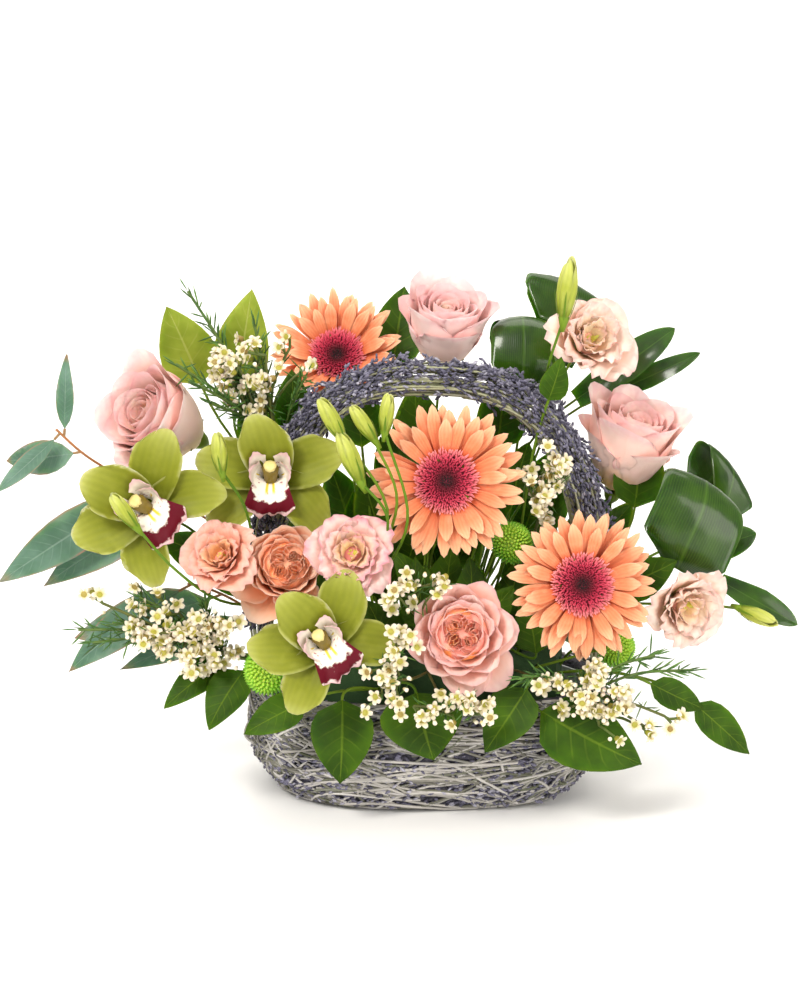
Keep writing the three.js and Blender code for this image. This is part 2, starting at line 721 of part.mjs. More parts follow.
const mums = [
  {
    name: 'mum_middle', at: [58, -56, 192], look: [0.1, -0.85, 0.5],
    size: 16, deep: 14, root: [34, -36, 106],
  },
  {
    name: 'mum_left', at: [-112, -86, 106], look: [-0.3, -0.92, 0.1],
    size: 18, deep: 16, root: [-78, -56, 94],
  },
  {
    name: 'mum_right', at: [131, -66, 118], look: [0.3, -0.9, 0.2],
    size: 15, deep: 13, root: [84, -52, 96],
  },
];

// Leaves on the stems that carry them. Each runs from one point, or a share of its stem, to another, and
// turns its face that way.
const leafy = [
  {
    name: 'lemon_leaf_front_left', root: [-34, -56, 86], outline: ovate, leaves: [
      { from: [-58, -88, 88], to: [-56, -101, 32], width: 44, face: [0, -1, 0.1] },
      { from: [-84, -86, 86], to: [-124, -98, 66], width: 27, face: [-0.3, -1, 0.5] },
      { from: [-8, -88, 93], to: [0, -104, 50], width: 58, face: [0, -1, 0.4] },
    ],
  },
  {
    name: 'lemon_leaf_front_right', root: [50, -56, 84], outline: ovate, leaves: [
      { from: [66, -88, 96], to: [40, -108, 56], width: 36, face: [-0.2, -1, 0.4] },
      { from: [76, -88, 80], to: [142, -100, 40], width: 50, face: [0.1, -1, 0.3] },
    ],
  },
  {
    name: 'lemon_leaf_low_left', root: [-96, -40, 88], outline: ovate, leaves: [
      { from: [-126, -58, 100], to: [-150, -78, 64], width: 32, face: [-0.4, -1, 0.4] },
      { from: [-140, -44, 104], to: [-180, -66, 74], width: 26, face: [-0.3, -1, 0.6] },
    ],
  },
  {
    name: 'lemon_leaf_upper_left', root: [-44, 44, 106], outline: ovate, leaves: [
      { from: [-160, 34, 284], to: [-181, 36, 340], width: 42, face: [0.1, -1, 0.1] },
      { from: [-136, 36, 278], to: [-120, 40, 350], width: 42, face: [-0.1, -1, 0.2] },
    ],
  },
  {
    name: 'lemon_leaf_top', root: [-16, 46, 106], outline: ovate, leaves: [
      { from: [-24, 66, 290], to: [-12, 70, 352], width: 40, face: [0, -1, 0.2] },
      { from: [-2, 56, 226], to: [-14, 44, 282], width: 42, face: [0, -1, 0.1] },
    ],
  },
  {
    name: 'lemon_leaf_back_left', root: [-50, 56, 90], outline: ovate, leaves: [
      { from: [-60, 88, 110], to: [-72, 118, 60], width: 46, face: [0, 1, 0.3] },
      { from: [-92, 74, 128], to: [-150, 96, 150], width: 42, face: [-0.2, 0.8, 0.6] },
      { from: [-52, 84, 150], to: [-66, 104, 214], width: 44, face: [0, 1, -0.2] },
    ],
  },
  {
    name: 'lemon_leaf_back_right', root: [44, 56, 90], outline: ovate, leaves: [
      { from: [30, 90, 106], to: [22, 118, 54], width: 46, face: [0, 1, 0.3] },
      { from: [18, 84, 150], to: [10, 104, 216], width: 44, face: [0, 1, -0.2] },
      { from: [96, 66, 100], to: [146, 86, 64], width: 40, face: [0.3, 0.8, 0.6] },
      { from: [66, 80, 160], to: [92, 98, 222], width: 42, face: [0.2, 1, -0.1] },
    ],
  },
  {
    name: 'ruscus_right', root: [96, -34, 90], outline: ovate, leaves: [
      { from: [152, -62, 92], to: [192, -56, 68], width: 22, face: [0, -1, 0.5] },
      { from: [184, -50, 74], to: [226, -46, 34], width: 25, face: [0.1, -1, 0.4] },
    ],
  },
  {
    name: 'eucalyptus_upper', root: [-84, 24, 106], outline: lance, colour: colours.eucalyptus,
    stem: [[-150, 22, 184], [-226, -12, 234], [-258, -22, 264]], leaves: [
      { share: 0.94, to: [-243, -22, 312], width: 13, face: [-0.2, -1, 0] },
      { share: 0.96, to: [-292, -32, 216], width: 14, face: [-0.2, -1, 0.4] },
      { share: 0.84, to: [-292, -8, 234], width: 24, face: [0, -1, 0.2] },
      { share: 0.66, to: [-298, -16, 150], width: 31, face: [-0.1, -1, 0.2] },
      { share: 0.58, to: [-272, -4, 152], width: 29, face: [0, -1, 0.3] },
    ],
  },
  {
    name: 'eucalyptus_lower', root: [-93, 22, 92], outline: lance, colour: colours.eucalyptus,
    stem: [[-130, 34, 120], [-156, 6, 142], [-180, -14, 152]], leaves: [
      { share: 0.86, to: [-256, -34, 106], width: 28, face: [0, -1, 0.2] },
      { share: 0.66, to: [-246, -8, 104], width: 36, face: [0, -1, 0.4] },
      { share: 0.48, to: [-214, -10, 84], width: 22, face: [0, -1, 0.3] },
    ],
  },
];

// Aspidistra leaves, bent over in a loop: `axis` is the way the leaf's width runs. `tips` are flat ones.
const loops = [
  {
    name: 'aspidistra_top_left', root: [30, 40, 106], axis: [1, 0, -0.02], width: 46,
    path: [[68, 58, 262], [68, 66, 300], [68, 54, 328], [68, 36, 324], [68, 26, 300], [68, 34, 276]],
    tips: [{ from: [108, 62, 268], to: [186, 42, 302], width: 28, face: [0, -1, 0.5] }],
  },
  {
    name: 'aspidistra_top_right', root: [38, 50, 106], axis: [0.93, 0, -0.36], width: 58,
    path: [[98, 86, 290], [100, 90, 328], [101, 82, 351], [99, 70, 346], [94, 66, 322]],
    tips: [{ from: [124, 74, 266], to: [198, 56, 298], width: 18, face: [0, -1, 0.4] }],
  },
  {
    name: 'aspidistra_right_front', root: [86, -22, 106], axis: [0.86, 0, -0.5], width: 60,
    path: [[184, 4, 180], [192, 8, 206], [194, -8, 222], [190, -24, 206], [178, -28, 178], [174, -20, 162]],
    tips: [{ from: [206, -4, 150], to: [258, -18, 118], width: 22, face: [0.2, -1, 0.5] }],
  },
  {
    name: 'aspidistra_right_back', root: [84, 36, 106], axis: [0.62, 0, -0.78], width: 50,
    path: [[188, 50, 176], [203, 54, 206], [213, 46, 226], [219, 34, 219], [213, 30, 194]],
    tips: [{ from: [196, 44, 160], to: [238, 36, 172], width: 26, face: [0.1, -1, 0.4] }],
  },
];

// Waxflower: `clouds` of small flowers round a point, and `twigs` of needles that reach out to a tip.
const sprays = [
  {
    name: 'waxflower_upper_left', root: [-66, 8, 106],
    clouds: [{ at: [-118, -4, 290], size: [32, 10, 28], flowers: 8 }],
    twigs: [[-166, 14, 352], [-170, -20, 306], [-120, 8, 330]],
  },
  {
    name: 'waxflower_left', root: [-96, -18, 96],
    clouds: [{ at: [-166, -68, 124], size: [46, 12, 24], flowers: 9 }],
    twigs: [[-238, -62, 130], [-196, -60, 152]],
  },
  {
    name: 'waxflower_middle', root: [48, -12, 106],
    clouds: [{ at: [84, -44, 218], size: [18, 10, 34], flowers: 6 }],
    twigs: [],
  },
  {
    name: 'waxflower_right', root: [66, -56, 98],
    clouds: [{ at: [114, -110, 98], size: [42, 8, 24], flowers: 8 }],
    twigs: [[176, -98, 112], [62, -114, 112]],
  },
  {
    name: 'waxflower_front', root: [0, -56, 99],
    clouds: [
      { at: [18, -128, 94], size: [28, 6, 13], flowers: 4 },
      { at: [-26, -130, 118], size: [15, 6, 26], flowers: 4 },
      { at: [-10, -106, 168], size: [20, 5, 8], flowers: 3 },
    ],
    twigs: [],
  },
];

place('basket', makeBasket(), colours.straw, 0.9);
place('handle', makeHandle(), colours.lavender, 0.9);
place('liner', makeLiner(), colours.liner, 0.5);

// Blooms first, then what is bent clear of them.

const baseOf = ({ at, look, deep }, lift = 0) =>
  V(...at).addScaledVector(V(...look).normalize(), lift - deep).toArray();
const frameOf = (f) => looking(baseOf(f), f.look, f.roll).scale(V(1, 1, f.stretch || 1));
const standing = (f, made) => made.transform(frameOf(f).toArray());

for (const f of gerberas) {
  place(`${f.name}_petals`, standing(f, gerberaPetals(f)), colours.gerbera);
  place(`${f.name}_disc`, standing(f, gerberaDisc(f)), colours.gerberaDisc, 0.9);
}
for (const f of roses) place(f.name, standing(f, rose(f)), f.colour || colours.rose);
for (const f of lisianthuses) place(f.name, standing(f, lisianthus(f)), colours.lisianthus);
for (const f of orchids) place(`${f.name}_lip`, standing(f, orchidLip(f)), colours.lip, 0.5);

// Orchids and mums are one green body with their stems.
function placeWithStem(f, parts, colour) {
  const { made } = makeStem(f.name, f, baseOf(f, 2), 2, [`${f.name}_lip`]);
  place(f.name, fuse([...parts.map((part) => standing(f, part)), made], f.name), colour);
}
for (const f of orchids) placeWithStem(f, [orchidTepals(f)], colours.orchid);
for (const f of mums) placeWithStem(f, mumHead(f), colours.mum);

// The other blooms rest in a calyx on their stem.
function placeStem(f, own, radius, cup) {
  const name = `${f.name}_stem`;
  const { curve, made } = makeStem(name, f, baseOf(f, -GAP - 1.2), radius, own);
  const calyx = solid(spindle([[-cup * 1.5, cup * 0.4], [-GAP, cup]], 5), looking(baseOf(f), f.look));
  const pieces = [made, calyx];
  for (const b of f.buds || []) {
    const knots = [onTube(curve, b.from, STEM_STEPS), ...[...b.via, b.to].map((p) => V(...p))];
    pieces.push(solid(budOnStalk(new THREE.CatmullRomCurve3(knots), b.tip, b.r)));
  }
  place(name, fuse(pieces, name), colours.stem);
}
for (const f of gerberas) placeStem(f, [`${f.name}_petals`, `${f.name}_disc`], 2.6, 5);
for (const f of roses) placeStem(f, [f.name], 2.6, f.size * 0.13);
for (const f of lisianthuses) placeStem(f, [f.name], 1.9, f.size * 0.12);

// A leaf that would cross another piece is swung round its base, and narrowed if that alone doesn't clear it.
function leafFrame(leaf, outline, label) {
  const length = V(...leaf.from).distanceTo(V(...leaf.to));
  for (const narrow of [1, 0.85, 0.7]) {
    for (let i = 0; i < 25; i++) {
      const reach = 5 * Math.sqrt(i);
      const frame = pointing(leaf.from, leaf.to, leaf.face)
        .multiply(new THREE.Matrix4().makeRotationZ(rad(reach * Math.cos(i * 2.4))))
        .multiply(new THREE.Matrix4().makeRotationY(rad(reach * Math.sin(i * 2.4))));
      const bend = { pitch: [10, -12], roll: 24, at: [0.16, 0.44, 0.78] };
      const shape = { length, width: leaf.width * narrow, outline, ...bend };
      if (isClear(solid(blade({ ...shape, grow: GAP }), frame))) return { frame, shape };
    }
  }
  console.log('no clear place for a leaf of', label, leaf.from.join());
  return null;
}

// A leaf with the stalk that joins it to its trunk.
function leafOnStalk(leaf, outline, base, label, index, radius = 1.3) {
  const { frame, shape } = leafFrame(leaf, outline, label);
  const into = V(1, 0, 0).transformDirection(frame);
  const up = V(0, 0, 1).transformDirection(frame);
  const stalk = branch(base, V(...leaf.from), into, radius, label, { steps: 2, index });
  const leafRings = bladeRings(shape).slice(1).map((ring) => ring.map((p) => p.applyMatrix4(frame)));
  return solid(skin([...ringsAlong(stalk, radius, 2, 4, up), ...leafRings], 2));
}

for (const g of leafy) {
  const base = trunk(g.root, 1.6, g.name, g.stem ? 1 : g.leaves.length);
  const pieces = [base.made];
  if (g.stem) {
    const [first, ...rest] = g.stem.map((p) => V(...p));
    const from = base.neck.clone().addScaledVector(base.out, -2);
    const lineOf = (swing) => new THREE.CatmullRomCurve3([from, first.clone().add(swing), ...rest]);
    const line = lineOf(clearSwing(g.name, (swing) => solid(tube(lineOf(swing), 2.2, 7, 3))));
    pieces.push(solid(tube(line, 1.6, 7, 3)));
    for (const leaf of g.leaves) {
      const from = onTube(line, leaf.share, 7);
      const { frame, shape } = leafFrame({ ...leaf, from: from.toArray() }, g.outline, g.name);
      pieces.push(solid(blade(shape), frame));
    }
  } else {
    g.leaves.forEach((leaf, i) => pieces.push(leafOnStalk(leaf, g.outline, base, g.name, i)));
  }
  place(g.name, fuse(pieces, g.name), g.colour || colours.salal);
}

// A strip of leaf bent along a path, of even thickness.
const RIBBON_STEPS = 8;
const ribbonLine = ({ path }) => new THREE.CatmullRomCurve3(path.map((p) => V(...p))).getPoints(RIBBON_STEPS);
function ribbon({ path, axis, width }, grow = 0) {
  const curve = new THREE.CatmullRomCurve3(path.map((p) => V(...p)));
  const across = V(...axis).normalize();
  const steps = RIBBON_STEPS;
  return skin(Array.from({ length: steps + 1 }, (_, i) => {
    const t = i / steps;
    const share = Math.min(1, 0.3 + 2.6 * t, 0.45 + 3 * (1 - t));
    const p = curve.getPoint(t);
    const up = curve.getTangent(t).cross(across).normalize().multiplyScalar(0.6 + grow);
    const side = across.clone().multiplyScalar((width / 2) * share + grow);
    return [[-1, 1], [1, 1], [1, -1], [-1, -1]].map(([s, u]) =>
      p.clone().addScaledVector(side, s).addScaledVector(up, u));
  }));
}

for (const g of loops) {
  if (!isClear(solid(ribbon(g, GAP)))) console.log('the loop crosses something:', g.name);
  const base = trunk(g.root, 2, g.name, 1 + g.tips.length);
  const [first, second] = ribbonLine(g).slice(0, 2);
  const into = second.clone().sub(first).normalize();
  const stalk = branch(base, first.clone().addScaledVector(into, 5), into, 2, g.name, { steps: 4 });
  const pieces = [base.made, solid(ribbon(g)), solid(tube(stalk, 2, 4, 3))];
  g.tips.forEach((leaf, i) => pieces.push(leafOnStalk(leaf, strap, base, g.name, i + 1, 1.6)));
  place(g.name, fuse(pieces, g.name), colours.aspidistra, 0.35);
}

// A waxflower on its stalk: five petals round a cup, kept to a few faces.
function waxflower(foot, spot, face, roll, grow = 0) {
  const frame = looking(spot.toArray(), face.toArray(), roll);
  const rim = Array.from({ length: 10 }, (_, j) => {
    const r = (j % 2 ? 0.45 : 1) * WAX_RADIUS + grow;
    const a = (2 * Math.PI * j) / 10;
    return V(r * Math.cos(a), r * Math.sin(a), 0.6).applyMatrix4(frame);
  });
  const stalk = (p) =>
    [0, 1, 2].map((k) => V(1, 0, 0).applyAxisAngle(V(0, 0, 1), k * rad(120)).multiplyScalar(0.8 + grow)
      .applyMatrix4(new THREE.Matrix4().extractRotation(frame)).add(p));
  const cup = spot.clone().addScaledVector(face, -3.4 - grow);
  return skin([stalk(foot), stalk(cup), rim, [spot.clone().addScaledVector(face, 1.6 + grow)]]);
}

// A waxflower twig: every second ring has one corner drawn out into a needle, each a third of a turn on.
function needleTwig(curve, radius) {
  const rings = ringsAlong(curve, radius, 18, 3, V(0, 0, 1));
  for (let i = 9; i < 18; i += 2) {
    const corner = rings[i][((i - 1) / 2) % 3];
    const out = corner.clone().sub(curve.getPointAt(i / 18)).normalize();
    corner.addScaledVector(out, NEEDLE * 0.6).addScaledVector(curve.getTangentAt(i / 18), NEEDLE * 0.8);
  }
  return skin(rings.filter((_, i) => i === 0 || i > 7));
}

for (const [index, s] of sprays.entries()) {
  const draw = draws(977 + index);
  const base = trunk(s.root, 1.5, s.name, s.clouds.length);
  const pieces = [base.made];
  const own = [];
  const stems = [];
  for (const [order, cloud] of s.clouds.entries()) {
    const middle = V(...cloud.at);
    const aside = middle.clone().setZ(0).normalize().multiplyScalar(0.5);
    const front = aside.add(V(0, Math.sign(cloud.at[1]), 0.35)).normalize();
    const top = middle.clone().addScaledVector(front, -7).add(V(0, 0, cloud.size[2] * 0.3));
    const into = front.clone().multiplyScalar(0.5).add(V(0, 0, 1)).normalize();
    const stem = branch(base, top, into, 1.6, s.name, { steps: WAX_STEPS, index: order });
    pieces.push(solid(tube(stem, 1.6, WAX_STEPS)));
    stems.push(stem);
    let kept = 0;
    for (let i = 0; i < cloud.flowers * 40 && kept < cloud.flowers; i++) {
      const offset = V(...cloud.size.map((r) => r * (draw() * 2 - 1)));
      const spot = middle.clone().add(offset);
      const face = front.clone().multiplyScalar(1.6).addScaledVector(offset.normalize(), 0.7).normalize();
      const roll = draw() * 72;
      const foot = onTube(stem, lerp(0.7, 0.99, (kept + 0.5) / cloud.flowers), WAX_STEPS);
      if (!isClear(solid(waxflower(foot, spot, face, roll, GAP)))) continue;
      const probe = solid(waxflower(foot.clone().lerp(spot, 0.3), spot, face, roll, 0.2));
      if (own.some((o) => !probe.intersect(o).isEmpty())) continue;
      own.push(probe);
      pieces.push(solid(waxflower(foot, spot, face, roll)));
      kept++;
    }
    if (kept < cloud.flowers) console.log(s.name, 'has', kept, 'of', cloud.flowers);
  }
  for (const [k, tip] of s.twigs.entries()) {
    const end = V(...tip);
    const fork = onTube(stems[0], 0.62 + 0.09 * k, WAX_STEPS);
    const bow = new THREE.QuadraticBezierCurve3(fork, fork.clone().lerp(end, 0.5).add(V(0, 0, 6)), end);
    if (isClear(solid(needleTwig(bow, 1.4)))) pieces.push(solid(needleTwig(bow, 1)));
    else console.log('twig left out of', s.name, tip.join());
  }
  place(s.name, fuse(pieces, s.name), colours.waxflower);
}

place('foam', makeFoam(holes), colours.foam, 0.95);

export default group;
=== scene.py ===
# %% [markdown]
# # A flower basket arrangement
#
# An oval basket wound from dried lavender carries gerberas, roses, lisianthus, green orchids, button mums,
# waxflower and leaves, under an arched lavender handle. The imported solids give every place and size, and this
# lesson grows the real surfaces on them. The tables are in millimetres, as in the solids, and every finished
# mesh is in metres.

import math
import random

import bpy
import numpy as np
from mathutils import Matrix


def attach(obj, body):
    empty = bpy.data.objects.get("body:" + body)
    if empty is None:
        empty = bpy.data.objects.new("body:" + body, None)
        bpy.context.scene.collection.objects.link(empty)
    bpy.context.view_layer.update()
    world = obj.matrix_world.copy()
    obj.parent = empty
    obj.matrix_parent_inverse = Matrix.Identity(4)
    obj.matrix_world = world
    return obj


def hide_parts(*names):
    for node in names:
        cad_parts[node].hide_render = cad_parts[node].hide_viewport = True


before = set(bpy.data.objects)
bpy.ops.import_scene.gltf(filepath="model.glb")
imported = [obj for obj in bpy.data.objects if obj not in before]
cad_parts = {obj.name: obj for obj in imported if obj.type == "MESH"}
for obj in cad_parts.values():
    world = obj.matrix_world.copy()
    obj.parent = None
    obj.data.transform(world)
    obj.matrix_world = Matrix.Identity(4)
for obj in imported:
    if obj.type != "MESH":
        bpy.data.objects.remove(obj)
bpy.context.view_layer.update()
MM = 0.001

# %% [markdown]
# ## Trees written as Python
#
# Both the shapes and the finishes below are node trees. Written node by node they are long, so one small class
# wraps a socket and lets Python's operators add the Math nodes, and another adds any other node in one line.


# %% Sockets with operators
class Value:
    """An output socket. Operators on it add Math nodes to its tree."""

    def __init__(self, tree, socket):
        self.tree = tree
        self.socket = socket

    def math(self, operation, *others):
        return self.tree.add("ShaderNodeMath", {"operation": operation}, dict(enumerate((self, *others))))

    def __add__(self, other):
        return self.math("ADD", other)

    def __sub__(self, other):
        return self.math("SUBTRACT", other)

    def __mul__(self, other):
        return self.math("MULTIPLY", other)

    def __truediv__(self, other):
        return self.math("DIVIDE", other)

    def __rsub__(self, other):
        return self * -1 + other

    __radd__ = __add__
    __rmul__ = __mul__


def sin(value):
    return value.math("SINE")


def cos(value):
    return value.math("COSINE")


class Tree:
    """A node tree that is written in Python."""

    def __init__(self, tree):
        self.tree = tree
        tree.nodes.clear()

    def add(self, kind, settings=None, values=None, output=0):
        """A node with its settings, and the values or links of its sockets. It gives one of its outputs."""
        node = self.tree.nodes.new(kind)
        for key, setting in (settings or {}).items():
            if key == "stops":
                self.set_stops(node.color_ramp.elements, setting)
            else:
                setattr(node, key, setting)
        for key, value in (values or {}).items():
            if isinstance(value, Value):
                self.tree.links.new(value.socket, node.inputs[key])
            else:
                node.inputs[key].default_value = value
        shown = [socket for socket in node.outputs if socket.enabled]
        if isinstance(output, str):
            return Value(self, node.outputs[output])
        return Value(self, shown[output]) if shown else None

    def set_stops(self, elements, stops):
        while len(elements) < len(stops):
            elements.new(1.0)
        for element, (place, colour) in zip(elements, stops):
            element.position = place
            element.color = (*colour[:3], 1.0)

    def parts(self, vector):
        """The X, Y and Z of a vector."""
        return [self.add("ShaderNodeSeparateXYZ", values={0: vector}, output=k) for k in range(3)]

    def vector(self, operation, *values):
        places = dict(enumerate(values))
        if operation == "SCALE":
            places = {0: values[0], "Scale": values[1]}
        return self.add("ShaderNodeVectorMath", {"operation": operation}, places)

    def ease(self, value, low, high):
        """0 below low, 1 above high, and a soft step between."""
        settings = {"interpolation_type": "SMOOTHSTEP"}
        return self.add("ShaderNodeMapRange", settings, {0: value, 1: low, 2: high})

    def blend(self, factor, one, other, kind="MIX"):
        """A colour between two others, or one put on another."""
        settings = {"data_type": "RGBA", "blend_type": kind}
        return self.add("ShaderNodeMix", settings, {0: factor, 6: one, 7: other})

    def noise(self, scale, detail, where=None):
        """Soft blotches on Object coordinates, or where told."""
        where = where or self.add("ShaderNodeTexCoord", output="Object")
        return self.add("ShaderNodeTexNoise", values={"Vector": where, "Scale": scale, "Detail": detail})

    def attribute(self, label):
        """A number that each point of the mesh carries."""
        return self.add("ShaderNodeAttribute", {"attribute_name": label}, output="Fac")

    def uv(self):
        """How far along and across a blade a point lies."""
        return self.parts(self.add("ShaderNodeUVMap", {"uv_map": "UVMap"}))[:2]

    def bump(self, height, strength, distance):
        return self.add("ShaderNodeBump", values={"Height": height, "Strength": strength, "Distance": distance})


def rgb(code):
    """A colour as the eye names it, such as F0A090, in Blender's linear numbers, by the curve that screens use."""
    parts = [int(code[k : k + 2], 16) / 255 for k in (0, 2, 4)]
    linear = [c / 12.92 if c <= 0.04045 else ((c + 0.055) / 1.055) ** 2.4 for c in parts]
    return (*linear, 1.0)


# %% Trees that make shapes
def geometry_tree(name, **sizes):
    """A new Geometry Nodes tree, and its inputs by name."""
    group = bpy.data.node_groups.new(name, "GeometryNodeTree")
    tree = Tree(group)
    for label, kind in {"Geometry": "Geometry", **sizes}.items():
        group.interface.new_socket(label, in_out="INPUT", socket_type="NodeSocket" + kind)
    group.interface.new_socket("Geometry", in_out="OUTPUT", socket_type="NodeSocketGeometry")
    source = group.nodes.new("NodeGroupInput")
    return tree, {socket.name: Value(tree, socket) for socket in source.outputs if socket.name}


def close_tree(tree, made, material):
    """Ends a tree in Realize Instances, smooth shading and Set Material."""
    made = tree.add("GeometryNodeRealizeInstances", values={0: made})
    made = tree.add("GeometryNodeSetShadeSmooth", values={0: made})
    made = tree.add("GeometryNodeSetMaterial", values={"Geometry": made, "Material": material})
    tree.add("NodeGroupOutput", values={0: made})


def link(piece):
    """Puts an object into the scene."""
    bpy.context.scene.collection.objects.link(piece)
    return piece


def grow(name, mesh, group, **given):
    """Runs a tree on a mesh and keeps what it makes as a plain mesh."""
    piece = link(bpy.data.objects.new(name, mesh))
    modifier = piece.modifiers.new("grow", "NODES")
    modifier.node_group = group
    for item in group.interface.items_tree:
        if item.name in given:
            modifier[item.identifier] = given[item.name]
    graph = bpy.context.evaluated_depsgraph_get()
    made = bpy.data.meshes.new_from_object(piece.evaluated_get(graph), depsgraph=graph)
    piece.modifiers.remove(modifier)
    piece.data = made
    made.name = name
    return piece


def dress(piece, slot, *stands_for):
    """Ties a finished piece to the frame."""
    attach(piece, "root")
    if stands_for:
        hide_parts(*stands_for)
    triangles = sum(len(face.vertices) - 2 for face in piece.data.polygons)
    print(f"{piece.name}: {triangles} triangles")


# %% [markdown]
# ## One tree for every petal, leaf and floret
#
# A petal, a leaf, a bud and a floret are all a small blade that starts somewhere, points somewhere and bends.
# So one flat closed card is drawn for each kind, 1 long and 2 wide, and one tree puts a copy on each point of
# a cloud and bends it by what that point carries. Changing how a rose opens is then a change of numbers, and
# every blade keeps its own lengthwise and crosswise coordinates for its veins.


# %% Meshes from lists
def plain_mesh(name, points, faces, uv=()):
    """A mesh from points and faces, and from a place on the UV map for each point, where given."""
    mesh = bpy.data.meshes.new(name)
    mesh.from_pydata(points, [], faces)
    if uv:
        layer = mesh.uv_layers.new(name="UVMap")
        for loop in mesh.loops:
            layer.data[loop.index].uv = uv[loop.vertex_index]
    return mesh


def skin(name, points, faces, material, uv=()):
    """An object with a smooth skin in one finish."""
    mesh = plain_mesh(name, [tuple(point) for point in points], faces, uv)
    mesh.materials.append(material)
    mesh.shade_smooth()
    return link(bpy.data.objects.new(name, mesh))


def add_columns(mesh, **columns):
    """Stores one value or vector for each point of a mesh."""
    for label, column in columns.items():
        data = np.array(column, np.float32)
        kind, key = ("FLOAT_VECTOR", "vector") if data.ndim == 2 else ("FLOAT", "value")
        mesh.attributes.new(label, kind, "POINT").data.foreach_set(key, data.ravel())


# %% Cards
THINNEST = 0.03  # a blade's least half width, as a share of its width
TAPER = 6  # how fast a blade gets its thickness from its ends


def card_object(name, points, half, faces, uv, rims=(), frill=0.0):
    """A card that stores its half widths, its sharp rim, and how finely it can ruffle."""
    mesh = plain_mesh(name, points, faces, uv)
    add_columns(mesh, half=half, frill=[frill] * len(points))
    sharp = [edge.vertices[0] in rims and edge.vertices[1] in rims for edge in mesh.edges]
    mesh.attributes.new("sharp_edge", "BOOLEAN", "EDGE").data.foreach_set("value", sharp)
    return bpy.data.objects.new(name, mesh)


def card(name, outline, along=8, across=4, notch=0.0, blunt=0.0, frill=0.0):
    """A closed blade with a thin sharp rim. The outline gives its half width, a notch cuts teeth in its tip, blunt
    rounds the tip's corners off, and frill is how finely its rim can ruffle."""
    points, half, uv, top, bottom, rims = [], [], [], {}, {}, set()
    for i in range(along + 1):
        u = math.sin(math.pi / 2 * i / along)
        width = max(outline(u), THINNEST)
        ends = min(1.0, TAPER * u, TAPER * (1 - u))
        for j in range(across + 1):
            s = -1 + 2 * j / across
            rim = i in (0, along) or j in (0, across)
            teeth = 1 - notch * u**6 * (0.5 - 0.5 * math.cos(3 * math.pi * s)) - blunt * s * s * u**3
            for side, rows in ((1, top), (-1, bottom)):
                if rim and side < 0:
                    rows[i, j] = top[i, j]
                    continue
                rows[i, j] = len(points)
                if rim:
                    rims.add(len(points))
                lift = 0 if rim else side * math.sqrt(1 - s * s) * ends
                points.append((u * teeth, s, lift))
                half.append(width)
                uv.append((u, (s + 1) / 2))
    faces = []
    for i in range(along):
        for j in range(across):
            corners = ((i, j), (i + 1, j), (i + 1, j + 1), (i, j + 1))
            faces.append([top[c] for c in corners])
            faces.append([bottom[c] for c in reversed(corners)])
    return card_object(name, points, half, faces, uv, rims, frill)


def spindle_card(name, profile, sides=4):
    """A round closed body along the blade, from pairs of place and half width, with a tip at both ends."""
    points, half, uv, faces = [(profile[0][0], 0, 0)], [0.01], [(0, 0.5)], []
    for u, width in profile[1:-1]:
        for k in range(sides):
            turn = 2 * math.pi * k / sides
            points.append((u, math.cos(turn), math.sin(turn) * width))
            half.append(width)
            uv.append((u, k / sides))
    points.append((profile[-1][0], 0, 0))
    half.append(0.01)
    uv.append((1, 0.5))
    rings = len(profile) - 2
    for k in range(sides):
        after = (k + 1) % sides
        faces.append((0, 1 + after, 1 + k))
        for i in range(rings - 1):
            a, b = 1 + i * sides, 1 + (i + 1) * sides
            faces.append((a + k, a + after, b + after, b + k))
        last = 1 + (rings - 1) * sides
        faces.append((last + k, last + after, len(points) - 1))
    return card_object(name, points, half, faces, uv)


